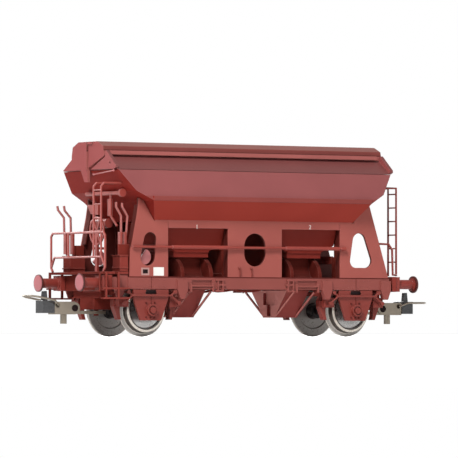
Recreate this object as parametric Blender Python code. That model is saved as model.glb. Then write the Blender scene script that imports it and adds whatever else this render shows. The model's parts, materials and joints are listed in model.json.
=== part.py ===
"""Scale model of a two-axle swing-roof hopper wagon, 1:87.

Lengths are in metres, heights are above the foot of the wheel flanges.
+X runs to the end with the tall ladder, -Y is the side towards the viewer,
and the braked platform end is at -X.
"""

import math

import bmesh
import bpy
from mathutils import Vector

# Gaps and shared sizes
SEAM = 0.0001
RUN_GAP = 0.0003
OVERRUN = 0.002
SHEET = 0.0008
THIN = 0.0005
FINE = 0.0003
ROUND_STEPS = 24
WHEEL_STEPS = 36
SHOE_STEPS = 6
SMALL_STEPS = 10

# Wheels and axles
TREAD_RADIUS = 0.0055
FLANGE_RADIUS = 0.0065
WHEEL_INNER = 0.0072
WHEEL_WIDTH = 0.0026
FLANGE_WIDTH = 0.0009
RIM_THICK = 0.0010
WEB_RECESS = 0.0007
HUB_RADIUS = 0.0021
BUSH_RADIUS = 0.00185
BUSH_LENGTH = 0.0020
AXLE_RADIUS = 0.0008
AXLE_PIN_RADIUS = 0.0005
AXLE_PIN_LENGTH = 0.0011
AXLE_X = 0.0301
AXLE_Z = FLANGE_RADIUS

# Hopper body: half length, half width and height of each ring
HOPPER_TOP_X = 0.0400
HOPPER_TOP_Y = 0.0132
HOPPER_TOP_Z = 0.0408
HOPPER_SHOULDER_X = 0.0363
HOPPER_SHOULDER_Z = 0.0356
HOPPER_EDGE_X = 0.0320
HOPPER_EDGE_Y = 0.0166
HOPPER_EDGE_Z = 0.0333
HOPPER_FOOT_X = 0.0291
HOPPER_FOOT_Y = 0.0121
HOPPER_FOOT_Z = 0.0285
HOPPER_WALL = 0.0008
RIB_HEIGHT = 0.0011
RIB_PROUD = 0.0002

# Flare and roof
FLARE_TOP_Y = 0.0079
FLARE_RISE = 0.0036
FLARE_TOP_Z = HOPPER_TOP_Z + FLARE_RISE
ROOF_CREST_RISE = 0.0035
ROOF_CREST_Z = FLARE_TOP_Z + ROOF_CREST_RISE
ROOF_CREST_Y = 0.0045
ROOF_BEND_DROP = 0.0012
ROOF_BEND_Z = ROOF_CREST_Z - ROOF_BEND_DROP
ROOF_BEND_Y = 0.0073
ROOF_EDGE_Y = 0.0078
ROOF_SPLIT = 0.0002
ROOF_WALL = 0.0007
ROOF_PLATE = 0.0008
PLATE_KNEE_DROP = 0.0007
PLATE_DIAGONAL_DROP = 0.0002
PLATE_DIAGONAL_LIFT = 0.0007
PLATE_TIP_Y = 0.0121
PLATE_FOOT_LIFT = 0.0002
RIDGE_STRIP = 0.0005
RIDGE_CAP_NEAR = 0.0024
RIDGE_CAP_DROP = 0.0007
ARM_TOP_Y = 0.0035
ARM_FOOT_Y = 0.0016
ARM_DROP = 0.0030
GUTTER_WIDTH = 0.0012
GUTTER_LIFT = 0.0002
GUTTER_HEIGHT = 0.0011
GUTTER_SHEET = 0.0004
GUTTER_RIGHT_TRIM = 0.0014

# End gussets of the flare: distance from the centre plane, height above the hopper's top
GUSSET_OUTLINE = (
    (0.00857, 0.0048),
    (0.0131, 0.0011),
    (0.0131, 0.0005),
    (0.0121, 0.0001),
    (0.0015, 0.0003),
    (0.00795, 0.0032),
    (0.0082, 0.0046),
)
GUSSET_HOLE_Y = 0.0104
GUSSET_HOLE_LIFT = 0.0017
GUSSET_HOLE_RADIUS = 0.0003

# Side walls
PANEL_FACE_Y = 0.0123
SOLE_TOP = 0.0146
SOLE_BOTTOM = 0.0117
SOLE_THICK = 0.0013
SOLE_LEFT = 0.0366
SOLE_RIGHT = 0.0402
BAY_INNER_X = 0.0079
BAY_OUTER_X = 0.0253
BAY_FLANGE = 0.0020
EDGE_FLANGE = 0.0012
EDGE_SHEET = 0.0004
STRIP_BOTTOM = 0.0267
PORTHOLE_HALF_X = 0.00315
PORTHOLE_HALF_Z = 0.0041
PORTHOLE_Z = 0.0215
PANEL_REST = 0.0002

# Outer edges of the end walls, foot first: x, z
LEFT_PANEL_EDGE = (
    (0.0363, SOLE_TOP + SEAM),
    (0.0361, 0.0212),
    (0.0356, 0.0229),
    (0.0342, 0.02975),
    (0.0338, 0.0323),
    (0.0338, 0.0340),
)
RIGHT_PANEL_EDGE = ((0.0399, SOLE_TOP + SEAM), (0.0339, 0.0338))

# Rounded panel holes: x, z and radius of the circles that the outline wraps
RIGHT_HOLE_CIRCLES = ((0.0300, 0.0190, 0.0017), (0.0331, 0.0191, 0.0018), (0.0311, 0.0240, 0.0020))
LEFT_HOLE_CIRCLES = ((0.0311, 0.0195, 0.0021), (0.0304, 0.0238, 0.0018))

# Pockets, chutes and gates
POCKET_TOP_Y = 0.0113
POCKET_KNEE_Z = 0.0228
POCKET_WAIST_Y = 0.0089
POCKET_WAIST_Z = 0.0211
POCKET_FOOT_Z = 0.0196
POCKET_LIP_INNER_X = 0.0116
POCKET_LIP_OUTER_X = 0.0216
LIP_PROUD = 0.0003
CHUTE_TOP_Y = 0.0063
CHUTE_FOOT_Y = 0.0110
CHUTE_FOOT_Z = 0.0149
CHUTE_INNER_X = 0.0114
CHUTE_OUTER_X = 0.0207
CHUTE_RECESS = 0.0030
CHEEK_THICK = 0.0010
CHUTE_STEPS = 7

# Underframe
FRAME_RAIL_Y = 0.0050
FRAME_RAIL_WIDTH = 0.0016
CROSS_HALF = 0.0010
CROSS_PLACES = (0.0070, 0.0243)
HEADSTOCK_X = 0.0424
HEADSTOCK_THICK = 0.0012
HEADSTOCK_Y = 0.0122
HEADSTOCK_TOP = 0.0152
HEADSTOCK_BOTTOM = 0.0113

# Spring brackets of the sole bars: distance from the axle, z
BRACKET_OUTLINE = (
    (0.00736, 0.0140),
    (0.01025, 0.0140),
    (0.01025, 0.0115),
    (0.0094, 0.0093),
    (0.0082, 0.0093),
    (0.00736, 0.0115),
)
BRACKET_PROUD = 0.0005
SOLE_STEP = 0.0004
COLUMN_OUTER_X = 0.0389
COLUMN_DEPTH = 0.0033
RECESS_INNER_X = 0.0126
RECESS_OUTER_X = 0.0184
RECESS_LOW = 0.0121
RECESS_HIGH = 0.0139
SOLE_ROD_Z = 0.0125
SOLE_ROD_RADIUS = 0.0003
SOLE_PIN_FOOT = 0.0110
SOLE_PIN_TOP = 0.0131

# Small gear on the sole bars: inner x, outer x, low z, high z
SOLE_GEAR = (
    (0.0092, 0.0117, 0.0138, 0.0142),
    (0.0089, 0.0112, 0.0126, 0.0130),
    (0.0094, 0.0117, 0.0111, 0.0115),
    (0.0094, 0.0098, 0.0111, 0.0142),
    (0.0109, 0.0112, 0.0111, 0.0142),
)

# Funnels between the wheels
FUNNEL_INNER_X = 0.0120
FUNNEL_OUTER_X = 0.0186
FUNNEL_FOOT_Y = 0.0027
FUNNEL_FOOT_Z = 0.0048
FUNNEL_TOP_Y = 0.0083
FUNNEL_SLOT_LOW_Z = 0.0052
FUNNEL_SLOT_BEND_Z = 0.0080
FUNNEL_SLOT_TOP_Z = 0.0110
FUNNEL_SLOT_HALF = 0.0026
FUNNEL_STEM_HALF = 0.0009
STRUT_RADIUS = 0.0003
STRUT_TOP_Y = 0.0113
STRUT_TOP_Z = 0.0112

# Axle guards
GUARD_Y = 0.0114
GUARD_THICK = 0.0008
GUARD_TOP_HALF = 0.0050
GUARD_FOOT_HALF = 0.0029
GUARD_BEND_Z = 0.0096
GUARD_FOOT_DROP = 0.0025
GUARD_SLOT_HALF = 0.0016
GUARD_SLOT_Z = 0.0111
GUARD_SLOT_HEIGHT = 0.0006
AXLEBOX_RADIUS = 0.00145
AXLEBOX_GROOVE_RADIUS = 0.0011
AXLEBOX_CAP_RADIUS = 0.0008
AXLEBOX_FACE_Y = 0.0134
LEDGE_HALF = 0.0060
LEDGE_Z = 0.0101
LEDGE_HALF_HEIGHT = 0.0002
SHACKLE_RADIUS = 0.0005
SHACKLE_Y = 0.0125
SHACKLE_PINS = ((0.0067, 0.0110), (0.0078, 0.0083))
LINK_RADIUS = 0.00025

# Buffers
BUFFER_LENGTH = 0.0070
BUFFER_FACE_X = HEADSTOCK_X + BUFFER_LENGTH
BUFFER_Y = 0.01005
BUFFER_Z = 0.0132
BUFFER_HEAD_RADIUS = 0.00215
BUFFER_HEAD_THICK = 0.0006
BUFFER_STEM_RADIUS = 0.0010
BUFFER_STEM_LENGTH = 0.0017
BUFFER_SLEEVE_RADIUS = 0.0012
BUFFER_COLLAR_RADIUS = 0.0015
BUFFER_BASE_HALF = 0.00185
BUFFER_BASE_THICK = 0.0012

# Brake gear: shoes hang on both sides of each wheel
SHOE_CLEAR = 0.0007
SHOE_Y = 0.0085
SHOE_HALF_WIDTH = 0.0008
SHOE_FOOT = 0.0042
HANGER_TOP = 0.0112
BEAM_REACH = 0.00775
BEAM_HALF = 0.0005
PULL_ROD_Z = 0.0107
HOUSING_INNER = 0.0059
HOUSING_OUTER = 0.0088
HOUSING_Y = 0.0101
HOUSING_LOW = 0.0073
HOUSING_HIGH = 0.0098
SHOE_ARM_TOP = 0.0090

# Back of a brake shoe, foot first: distance from the axle, z
SHOE_BACK = (
    (0.0077, SHOE_FOOT),
    (0.0090, 0.0075),
    (0.0090, 0.0090),
    (0.0080, HANGER_TOP),
)

# Couplers
COUPLER_PIVOT_X = 0.0385
COUPLER_Z = 0.0055
COUPLER_TOP = 0.0086
COUPLER_HALF_Y = 0.0016
COUPLER_BOSS_X = 0.0455
COUPLER_BOSS_RADIUS = 0.0015
COUPLER_BOSS_HOLE = 0.00055
COUPLER_HEAD_X = 0.0513
COUPLER_NOSE_X = 0.0546
COUPLER_HEAD_HALF_Y = 0.0018
COUPLER_HEAD_LIFT = 0.0003
COUPLER_TONGUE_TOP = 0.0064
COUPLER_TONGUE_HALF = 0.0013
COUPLER_TONGUE_END = 0.0020
COUPLER_MOUNT_INNER = 0.0355
COUPLER_MOUNT_HALF_Y = 0.0034
COUPLER_MOUNT_TOP = 0.0100
COUPLER_PIN_RADIUS = 0.0006
HOOK_INNER_X = 0.0525
HOOK_OUTER_X = 0.0540
HOOK_TAPER = 0.0003
HOOK_TOP = 0.0112
HOOK_HALF_Y = 0.0005
HOOP_RADIUS = 0.00025
HOOP_HALF_Y = 0.0036
HOOP_PIVOT_X = 0.0503
HOOP_PIVOT_Z = 0.0077
HOOP_RISE = 0.0009
HOOP_REACH = 0.0079
HOOP_ELBOW = 0.0020
HOOP_CORNER = 0.0012
HOOP_PIN_DEPTH = 0.0006
HOOP_REST_DEGREES = {"left": 10, "right": 0}
TRIP_INNER_X = 0.0471
TRIP_OUTER_X = 0.0485
TRIP_HALF = 0.0004
TRIP_FOOT = 0.0032

# Platform end
PLATFORM_OUTER_X = 0.0442
PLATFORM_Z = 0.0153
PLATFORM_THICK = 0.0006
RAILING_X = 0.0437
RAILING_HALF_Y = 0.0130
RAILING_TOP = 0.0255
RAILING_MID = 0.0195
RAILING_WAIST = 0.0170
RAILING_CUT = 0.0016
RAILING_RADIUS = 0.00033
POST_Y = 0.0046
LADDER_NEAR_Y = 0.0111
LADDER_FAR_Y = 0.0075
LADDER_TOP = 0.0375
LADDER_RADIUS = 0.0003
STEP_HIGH_Z = 0.0116
STEP_LOW_Z = 0.0092
STEP_OUTER_X = 0.04465
STEP_INNER_X = 0.0370
STEP_OUTER_Y = 0.0138
STEP_DEPTH = 0.0013
STEP_THICK = 0.0004
STRAP_PLACES = (0.0440, 0.0405)
GRAB_X = 0.0444
GRAB_Z = 0.0112
GRAB_INNER_Y = 0.0041
GRAB_OUTER_Y = 0.0117

# Right end ladder and handrail
END_LADDER_X = 0.0431
END_LADDER_FOOT = 0.0156
RUNG_TOP = 0.0360
RUNG_STEP = 0.00343
RUNG_COUNT = 6
RUNG_RADIUS = 0.0002
HANDRAIL_Y = 0.0118

# Handrail beside the right wall: x, z
HANDRAIL_POINTS = ((0.0376, 0.0234), (0.04035, 0.0233), (0.0414, 0.0219), (0.0416, END_LADDER_FOOT))

# Operating gear
ROD_RADIUS = 0.00035
ROD_Z = 0.0220
ROD_LEFT = 0.0358
ROD_RIGHT = 0.0258
ROD_THICK_RADIUS = 0.0005
ROD_END_RADIUS = 0.0007
LEVER_RADIUS = 0.0003
LINK_HALF_X = 0.0003
LINK_HALF_Y = 0.0006
LINK_TOP = 0.0256
BOX_OUTER_Y = 0.0120
BOX_INNER_Y = 0.0086
BOX_INNER_X = 0.0366
BOX_TOP = 0.0200
BOX_RIM = 0.0003
BOX_RIM_PROUD = 0.0002
BOX_BAND_Z = 0.0170
HANDWHEEL_X = 0.0385
HANDWHEEL_Y = 0.0004
HANDWHEEL_Z = 0.0260
WHEEL_RING_RADIUS = 0.0033
WHEEL_RING_WIRE = 0.0003
HANDWHEEL_POST_RADIUS = 0.0006

# Levers over each control box, foot first: x, z
NEAR_LEVERS = (
    ((0.0380, BOX_TOP + SEAM), (0.0375, LINK_TOP), (0.0375, 0.0295), (0.0389, 0.0317), (0.0389, 0.0329)),
    ((0.0371, BOX_TOP + SEAM), (0.0360, LINK_TOP), (0.0357, 0.0295), (0.0372, 0.0318), (0.0372, 0.0327)),
)
FAR_LEVERS = (
    ((0.0405, BOX_TOP + SEAM), (0.0413, LINK_TOP), (0.0414, 0.0294), (0.0431, 0.0313), (0.0433, 0.0323)),
    ((0.0386, BOX_TOP + SEAM), (0.0394, LINK_TOP), (0.0395, 0.0294), (0.0412, 0.0312), (0.0414, 0.03235)),
)
NEAR_LEVER_Y = 0.0102
FAR_LEVER_Y = 0.0107
NEAR_BOX_X = 0.0389
FAR_BOX_X = 0.0409

# Roof gear across the platform end of the tub
SHAFT_X = 0.0373
SHAFT_Z = 0.0352
SHAFT_RADIUS = 0.0005
SHAFT_NEAR_Y = 0.0103
SHAFT_FAR_Y = 0.0067
SHAFT_DISC_RADIUS = 0.0010
SHAFT_BRACKET_PLACES = (-0.0090, -0.0015, 0.0060)
BOTTLE_X = 0.0375
BOTTLE_Y = 0.0050
BOTTLE_TOP = 0.0338
BOTTLE_FOOT = 0.0296
BOTTLE_RADIUS = 0.00065
BOTTLE_ROD_Y = 0.0083
BOTTLE_ROD_Z = 0.0271
TANK_X = 0.0368
TANK_NEAR_Y = 0.0033
TANK_FAR_Y = 0.0039
TANK_Z = 0.0279
TANK_RADIUS = 0.00115
CRANK_Y = 0.0035

# Crank plate between shaft and tank: y, z
CRANK_OUTLINE = ((0.0068, 0.0326), (0.0015, 0.0325), (0.0015, 0.0300), (0.0049, 0.0303))

# Paint: name, linear colour, metallic, roughness
PAINTS = {
    "brown": ((0.30, 0.075, 0.06), 0.0, 0.55),
    "dark_brown": ((0.16, 0.045, 0.04), 0.0, 0.6),
    "steel": ((0.70, 0.66, 0.60), 1.0, 0.3),
    "dull_steel": ((0.35, 0.33, 0.30), 1.0, 0.45),
    "black": ((0.02, 0.02, 0.022), 0.0, 0.5),
}


def clear_scene():
    """Start from nothing"""
    for item in list(bpy.data.objects):
        bpy.data.objects.remove(item, do_unlink=True)


def paint(name):
    """The named finish, made once"""
    found = bpy.data.materials.get(name)
    if found:
        return found
    colour, metallic, roughness = PAINTS[name]
    made = bpy.data.materials.new(name)
    made.use_nodes = True
    shader = made.node_tree.nodes["Principled BSDF"]
    shader.inputs["Base Color"].default_value = (*colour, 1.0)
    shader.inputs["Metallic"].default_value = metallic
    shader.inputs["Roughness"].default_value = roughness
    return made


def to_mesh(form):
    """Close a bmesh into a mesh with its faces outwards"""
    bmesh.ops.recalc_face_normals(form, faces=form.faces)
    mesh = bpy.data.meshes.new("form")
    form.to_mesh(mesh)
    form.free()
    return mesh


def prism(outline, axis, low, high):
    """An outline in the two other axes, drawn out along one axis"""
    places = {
        "X": lambda a, b: (low, a, b),
        "Y": lambda a, b: (a, low, b),
        "Z": lambda a, b: (a, b, low),
    }[axis]
    along = {"X": Vector((1, 0, 0)), "Y": Vector((0, 1, 0)), "Z": Vector((0, 0, 1))}[axis]
    form = bmesh.new()
    face = form.faces.new([form.verts.new(places(a, b)) for a, b in outline])
    pulled = bmesh.ops.extrude_face_region(form, geom=[face])
    tips = [item for item in pulled["geom"] if isinstance(item, bmesh.types.BMVert)]
    bmesh.ops.translate(form, verts=tips, vec=along * (high - low))
    return to_mesh(form)


def block(x, y, z):
    """A box from three low and high pairs"""
    (left, right), (near, far) = sorted(x), sorted(y)
    return prism(((left, near), (right, near), (right, far), (left, far)), "Z", min(z), max(z))


def loft(rings):
    """Closed rings of equal count, skinned in turn and capped"""
    form = bmesh.new()
    rows = [[form.verts.new(point) for point in ring] for ring in rings]
    for lower, upper in zip(rows, rows[1:]):
        for index in range(len(lower)):
            after = (index + 1) % len(lower)
            form.faces.new((lower[index], lower[after], upper[after], upper[index]))
    form.faces.new(rows[0])
    form.faces.new(rows[-1])
    return to_mesh(form)


def turned(profile, centre, along="Y", steps=ROUND_STEPS):
    """A profile of (distance along the axis, radius) pairs, turned round the axis"""
    form = bmesh.new()
    start = Vector(centre)
    if along == "Y":
        points = [start + Vector((radius, place, 0)) for place, radius in profile]
        axis = (0, 1, 0)
    elif along == "X":
        points = [start + Vector((place, radius, 0)) for place, radius in profile]
        axis = (1, 0, 0)
    else:
        points = [start + Vector((radius, 0, place)) for place, radius in profile]
        axis = (0, 0, 1)
    verts = [form.verts.new(point) for point in points]
    edges = [form.edges.new(pair) for pair in zip(verts, verts[1:])]
    bmesh.ops.spin(form, geom=verts + edges, cent=start, axis=axis, angle=math.tau,
                   steps=steps, use_merge=True)
    bmesh.ops.remove_doubles(form, verts=form.verts, dist=SEAM / 1000)
    return to_mesh(form)


def disc(centre, along, low, high, radius, steps=ROUND_STEPS):
    """A plain cylinder along one axis"""
    return turned(((low, 0), (low, radius), (high, radius), (high, 0)), centre, along, steps)


def rod(points, radius, sides_level=1, closed=False):
    """A round bar bent through points"""
    curve = bpy.data.curves.new("rod", "CURVE")
    curve.dimensions = "3D"
    curve.bevel_depth = radius
    curve.bevel_resolution = sides_level
    curve.use_fill_caps = not closed
    spline = curve.splines.new("POLY")
    spline.points.add(len(points) - 1)
    for slot, point in zip(spline.points, points):
        slot.co = (*point, 1)
    spline.use_cyclic_u = closed
    guide = bpy.data.objects.new("rod", curve)
    bpy.context.scene.collection.objects.link(guide)
    mesh = settled(guide)
    bpy.data.objects.remove(guide, do_unlink=True)
    return mesh


def settled(item):
    """The mesh of an object with its modifiers done"""
    bpy.context.view_layer.update()
    graph = bpy.context.evaluated_depsgraph_get()
    return bpy.data.meshes.new_from_object(item.evaluated_get(graph))


def helper_group(name, meshes):
    """Hidden objects that a Boolean takes as one operand"""
    group = bpy.data.collections.new(name)
    bpy.context.scene.collection.children.link(group)
    for mesh in meshes:
        item = bpy.data.objects.new(name, mesh)
        item.hide_render = True
        item.display_type = "WIRE"
        group.objects.link(item)
    return group


def piece(name, finish, shapes, cuts=(), smooth=False):
    """One named object: its shapes united, its cuts taken out"""
    item = bpy.data.objects.new(name, shapes[0])
    bpy.context.scene.collection.objects.link(item)
    groups = []
    for operation, meshes in (("UNION", shapes[1:]), ("DIFFERENCE", cuts)):
        if meshes:
            group = helper_group(name + "_" + operation.lower(), meshes)
            groups.append(group)
            step = item.modifiers.new(operation, "BOOLEAN")
            step.operation = operation
            step.operand_type = "COLLECTION"
            step.collection = group
            step.solver = "EXACT"
    if groups:
        mesh = settled(item)
        item.modifiers.clear()
        item.data = mesh
    for group in groups:
        for helper in list(group.objects):
            bpy.data.objects.remove(helper, do_unlink=True)
        bpy.data.collections.remove(group)
    item.data.name = name
    item.data.materials.clear()
    item.data.materials.append(paint(finish))
    if smooth:
        item.data.shade_smooth()
        item.data.set_sharp_from_angle(angle=math.radians(35))
    return item


def arc(centre, radius, start, end, steps):
    """Points along an arc, angles in degrees"""
    return [
        (
            centre[0] + radius * math.cos(math.radians(start + (end - start) * step / steps)),
            centre[1] + radius * math.sin(math.radians(start + (end - start) * step / steps)),
        )
        for step in range(steps + 1)
    ]


def wrapped(circles, steps=ROUND_STEPS):
    """The outline that a band makes round circles, given as (x, z, radius)"""
    points = sorted(
        point
        for x, z, radius in circles
        for point in arc((x, z), radius, 0, 360, steps)[:-1]
    )
    outline = []
    for run in (points, points[::-1]):
        chain = []
        for point in run:
            while len(chain) > 1 and turn(chain[-2], chain[-1], point) <= 0:
                chain.pop()
            chain.append(point)
        outline += chain[:-1]
    return outline


def turn(first, second, third):
    """Above zero where three points turn left"""
    return (second[0] - first[0]) * (third[1] - first[1]) - (second[1] - first[1]) * (third[0] - first[0])


def between(low, high, share):
    """The value at a share of the way"""
    return low + (high - low) * share


def ring(left, right, half_y, z):
    """A level rectangle"""
    return ((left, -half_y, z), (right, -half_y, z), (right, half_y, z), (left, half_y, z))


def side_y(z):
    """Half width of the hopper's upper band at a height"""
    share = (HOPPER_TOP_Z - z) / (HOPPER_TOP_Z - HOPPER_EDGE_Z)
    return between(HOPPER_TOP_Y, HOPPER_EDGE_Y, share)


def end_x(z):
    """Half length of the hopper at a height"""
    if z > HOPPER_SHOULDER_Z:
        share = (z - HOPPER_SHOULDER_Z) / (HOPPER_TOP_Z - HOPPER_SHOULDER_Z)
        return between(HOPPER_SHOULDER_X, HOPPER_TOP_X, share)
    if z < HOPPER_EDGE_Z:
        share = (z - HOPPER_FOOT_Z) / (HOPPER_EDGE_Z - HOPPER_FOOT_Z)
        return between(HOPPER_FOOT_X, HOPPER_EDGE_X, share)
    share = (z - HOPPER_EDGE_Z) / (HOPPER_SHOULDER_Z - HOPPER_EDGE_Z)
    return between(HOPPER_EDGE_X, HOPPER_SHOULDER_X, share)


def mirrored(outline, sign):
    """An outline with its first coordinate on one side"""
    return [(sign * a, b) for a, b in outline]


ENDS = (("left", -1), ("right", 1))
SIDES = (("near", -1), ("far", 1))


def build_hopper():
    """Open-topped tub with sloping sides and ends"""
    # half length, half width, height
    sections = (
        (HOPPER_FOOT_X, HOPPER_FOOT_Y, HOPPER_FOOT_Z),
        (HOPPER_EDGE_X, HOPPER_EDGE_Y, HOPPER_EDGE_Z),
        (HOPPER_SHOULDER_X, side_y(HOPPER_SHOULDER_Z), HOPPER_SHOULDER_Z),
        (HOPPER_TOP_X, HOPPER_TOP_Y, HOPPER_TOP_Z),
    )
    lifts = (HOPPER_WALL, 0, 0, OVERRUN)
    outer = [ring(-x, x, y, z) for x, y, z in sections]
    inner = [
        ring(-x + HOPPER_WALL, x - HOPPER_WALL, y - HOPPER_WALL, z + lift)
        for (x, y, z), lift in zip(sections, lifts)
    ]
    mouths = [
        block(
            (sign * (BAY_INNER_X + SHEET), sign * (BAY_OUTER_X - SHEET)),
            (-POCKET_TOP_Y + SHEET, POCKET_TOP_Y - SHEET),
            (HOPPER_FOOT_Z - OVERRUN, HOPPER_FOOT_Z + OVERRUN),
        )
        for _, sign in ENDS
    ]
    rib_top = HOPPER_EDGE_Z + RIB_HEIGHT
    ribs = [
        prism(
            mirrored((
                (HOPPER_EDGE_Y - HOPPER_WALL / 2, HOPPER_EDGE_Z),
                (HOPPER_EDGE_Y + RIB_PROUD, HOPPER_EDGE_Z),
                (HOPPER_EDGE_Y + RIB_PROUD, rib_top),
                (side_y(rib_top) - HOPPER_WALL / 2, rib_top),
            ), sign),
            "X", -HOPPER_EDGE_X, HOPPER_EDGE_X,
        )
        for _, sign in SIDES
    ]
    piece("hopper_body", "brown", [loft(outer)] + ribs, [loft(inner)] + mouths)


def build_flare():
    """Sloping band between the hopper and the roof, with the end gussets"""
    low_z = HOPPER_TOP_Z + SEAM
    outer = (
        ring(-HOPPER_TOP_X, HOPPER_TOP_X, HOPPER_TOP_Y, low_z),
        ring(-HOPPER_TOP_X, HOPPER_TOP_X, FLARE_TOP_Y, FLARE_TOP_Z),
    )
    inner_x = HOPPER_TOP_X - HOPPER_WALL
    inner = (
        ring(-inner_x, inner_x, HOPPER_TOP_Y - HOPPER_WALL, low_z - SEAM),
        ring(-inner_x, inner_x, FLARE_TOP_Y - HOPPER_WALL, FLARE_TOP_Z + SEAM),
    )
    outline = [(-y, HOPPER_TOP_Z + lift) for y, lift in GUSSET_OUTLINE]
    gussets = []
    holes = []
    for _, sign in ENDS:
        low_x = sign * (HOPPER_TOP_X - SEAM)
        high_x = sign * (HOPPER_TOP_X + ROOF_PLATE)
        gussets.append(prism(outline, "X", low_x, high_x))
        centre = (0, -GUSSET_HOLE_Y, HOPPER_TOP_Z + GUSSET_HOLE_LIFT)
        holes.append(disc(centre, "X", high_x - sign * FINE, high_x + sign * FINE, GUSSET_HOLE_RADIUS,
                          SMALL_STEPS))
    piece("hopper_flare", "brown", [loft(outer)] + gussets, [loft(inner)] + holes)


def build_roof():
    """Two roof halves that meet at the ridge, each with its gutter and end plates"""
    crown = (
        (ROOF_SPLIT, ROOF_CREST_Z),
        (ROOF_CREST_Y, ROOF_CREST_Z),
        (ROOF_BEND_Y, ROOF_BEND_Z),
        (ROOF_EDGE_Y, FLARE_TOP_Z + SEAM),
    )
    hollow = (
        (ROOF_SPLIT + ROOF_WALL, ROOF_CREST_Z - ROOF_WALL),
        (ROOF_CREST_Y - ROOF_WALL / 2, ROOF_CREST_Z - ROOF_WALL),
        (ROOF_BEND_Y - ROOF_WALL, ROOF_BEND_Z - ROOF_WALL / 2),
        (ROOF_EDGE_Y - ROOF_WALL, FLARE_TOP_Z - SEAM),
        (ROOF_SPLIT + ROOF_WALL, FLARE_TOP_Z - SEAM),
    )
    foot = HOPPER_TOP_Z + PLATE_FOOT_LIFT
    ends = {
        "near": crown + (
            (ROOF_EDGE_Y - PLATE_DIAGONAL_DROP, FLARE_TOP_Z - PLATE_DIAGONAL_DROP),
            (ROOF_SPLIT, HOPPER_TOP_Z + PLATE_DIAGONAL_LIFT),
        ),
        "far": crown + (
            (ROOF_EDGE_Y, FLARE_TOP_Z - PLATE_KNEE_DROP),
            (PLATE_TIP_Y, foot), (ROOF_SPLIT, foot),
        ),
    }
    arm = (
        (ARM_TOP_Y, foot), (ARM_FOOT_Y, foot - ARM_DROP),
        (ROOF_SPLIT, foot - ARM_DROP), (ROOF_SPLIT, foot),
    )
    # the shelf and lip of a gutter, as (y, z)
    gutter_low = FLARE_TOP_Z + GUTTER_LIFT
    gutter_high = gutter_low + GUTTER_HEIGHT
    lip_y = ROOF_EDGE_Y + GUTTER_WIDTH
    gutter = (
        (ROOF_EDGE_Y - ROOF_WALL, gutter_low), (lip_y, gutter_low), (lip_y, gutter_high),
        (lip_y - GUTTER_SHEET, gutter_high), (lip_y - GUTTER_SHEET, gutter_low + GUTTER_SHEET),
        (ROOF_EDGE_Y - ROOF_WALL, gutter_low + GUTTER_SHEET),
    )
    inner_x = HOPPER_TOP_X + SEAM
    outer_x = inner_x + ROOF_PLATE
    for side, sign in SIDES:
        shell = crown + ((ROOF_SPLIT, FLARE_TOP_Z + SEAM),)
        shapes = [prism(mirrored(shell, sign), "X", -inner_x, inner_x)]
        for _, end in ENDS:
            plate_x = (end * (inner_x - SEAM / 2), end * outer_x)
            proud_x = (end * (outer_x - FINE), end * (outer_x + FINE))
            shapes.append(prism(mirrored(ends[side], sign), "X", *plate_x))
            if side == "far":
                shapes.append(prism(arm, "X", end * inner_x, end * outer_x))
                shapes.append(block(proud_x, (ROOF_SPLIT, ROOF_SPLIT + RIDGE_STRIP),
                                    (foot, ROOF_CREST_Z - SEAM)))
            else:
                shapes.append(block(proud_x, (-RIDGE_CAP_NEAR, -ROOF_SPLIT),
                                    (ROOF_CREST_Z - RIDGE_CAP_DROP, ROOF_CREST_Z - SEAM)))
        shapes.append(prism(mirrored(gutter, sign), "X",
                            -HOPPER_TOP_X + SEAM * 2, HOPPER_TOP_X - GUTTER_RIGHT_TRIM))
        hollow_x = HOPPER_TOP_X - ROOF_WALL
        piece("roof_half_" + side, "brown", shapes,
              [prism(mirrored(hollow, sign), "X", -hollow_x, hollow_x)])


def panel_y(sign):
    """Inner and outer face of a side wall"""
    return sorted((sign * (PANEL_FACE_Y - SHEET), sign * PANEL_FACE_Y))


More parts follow.
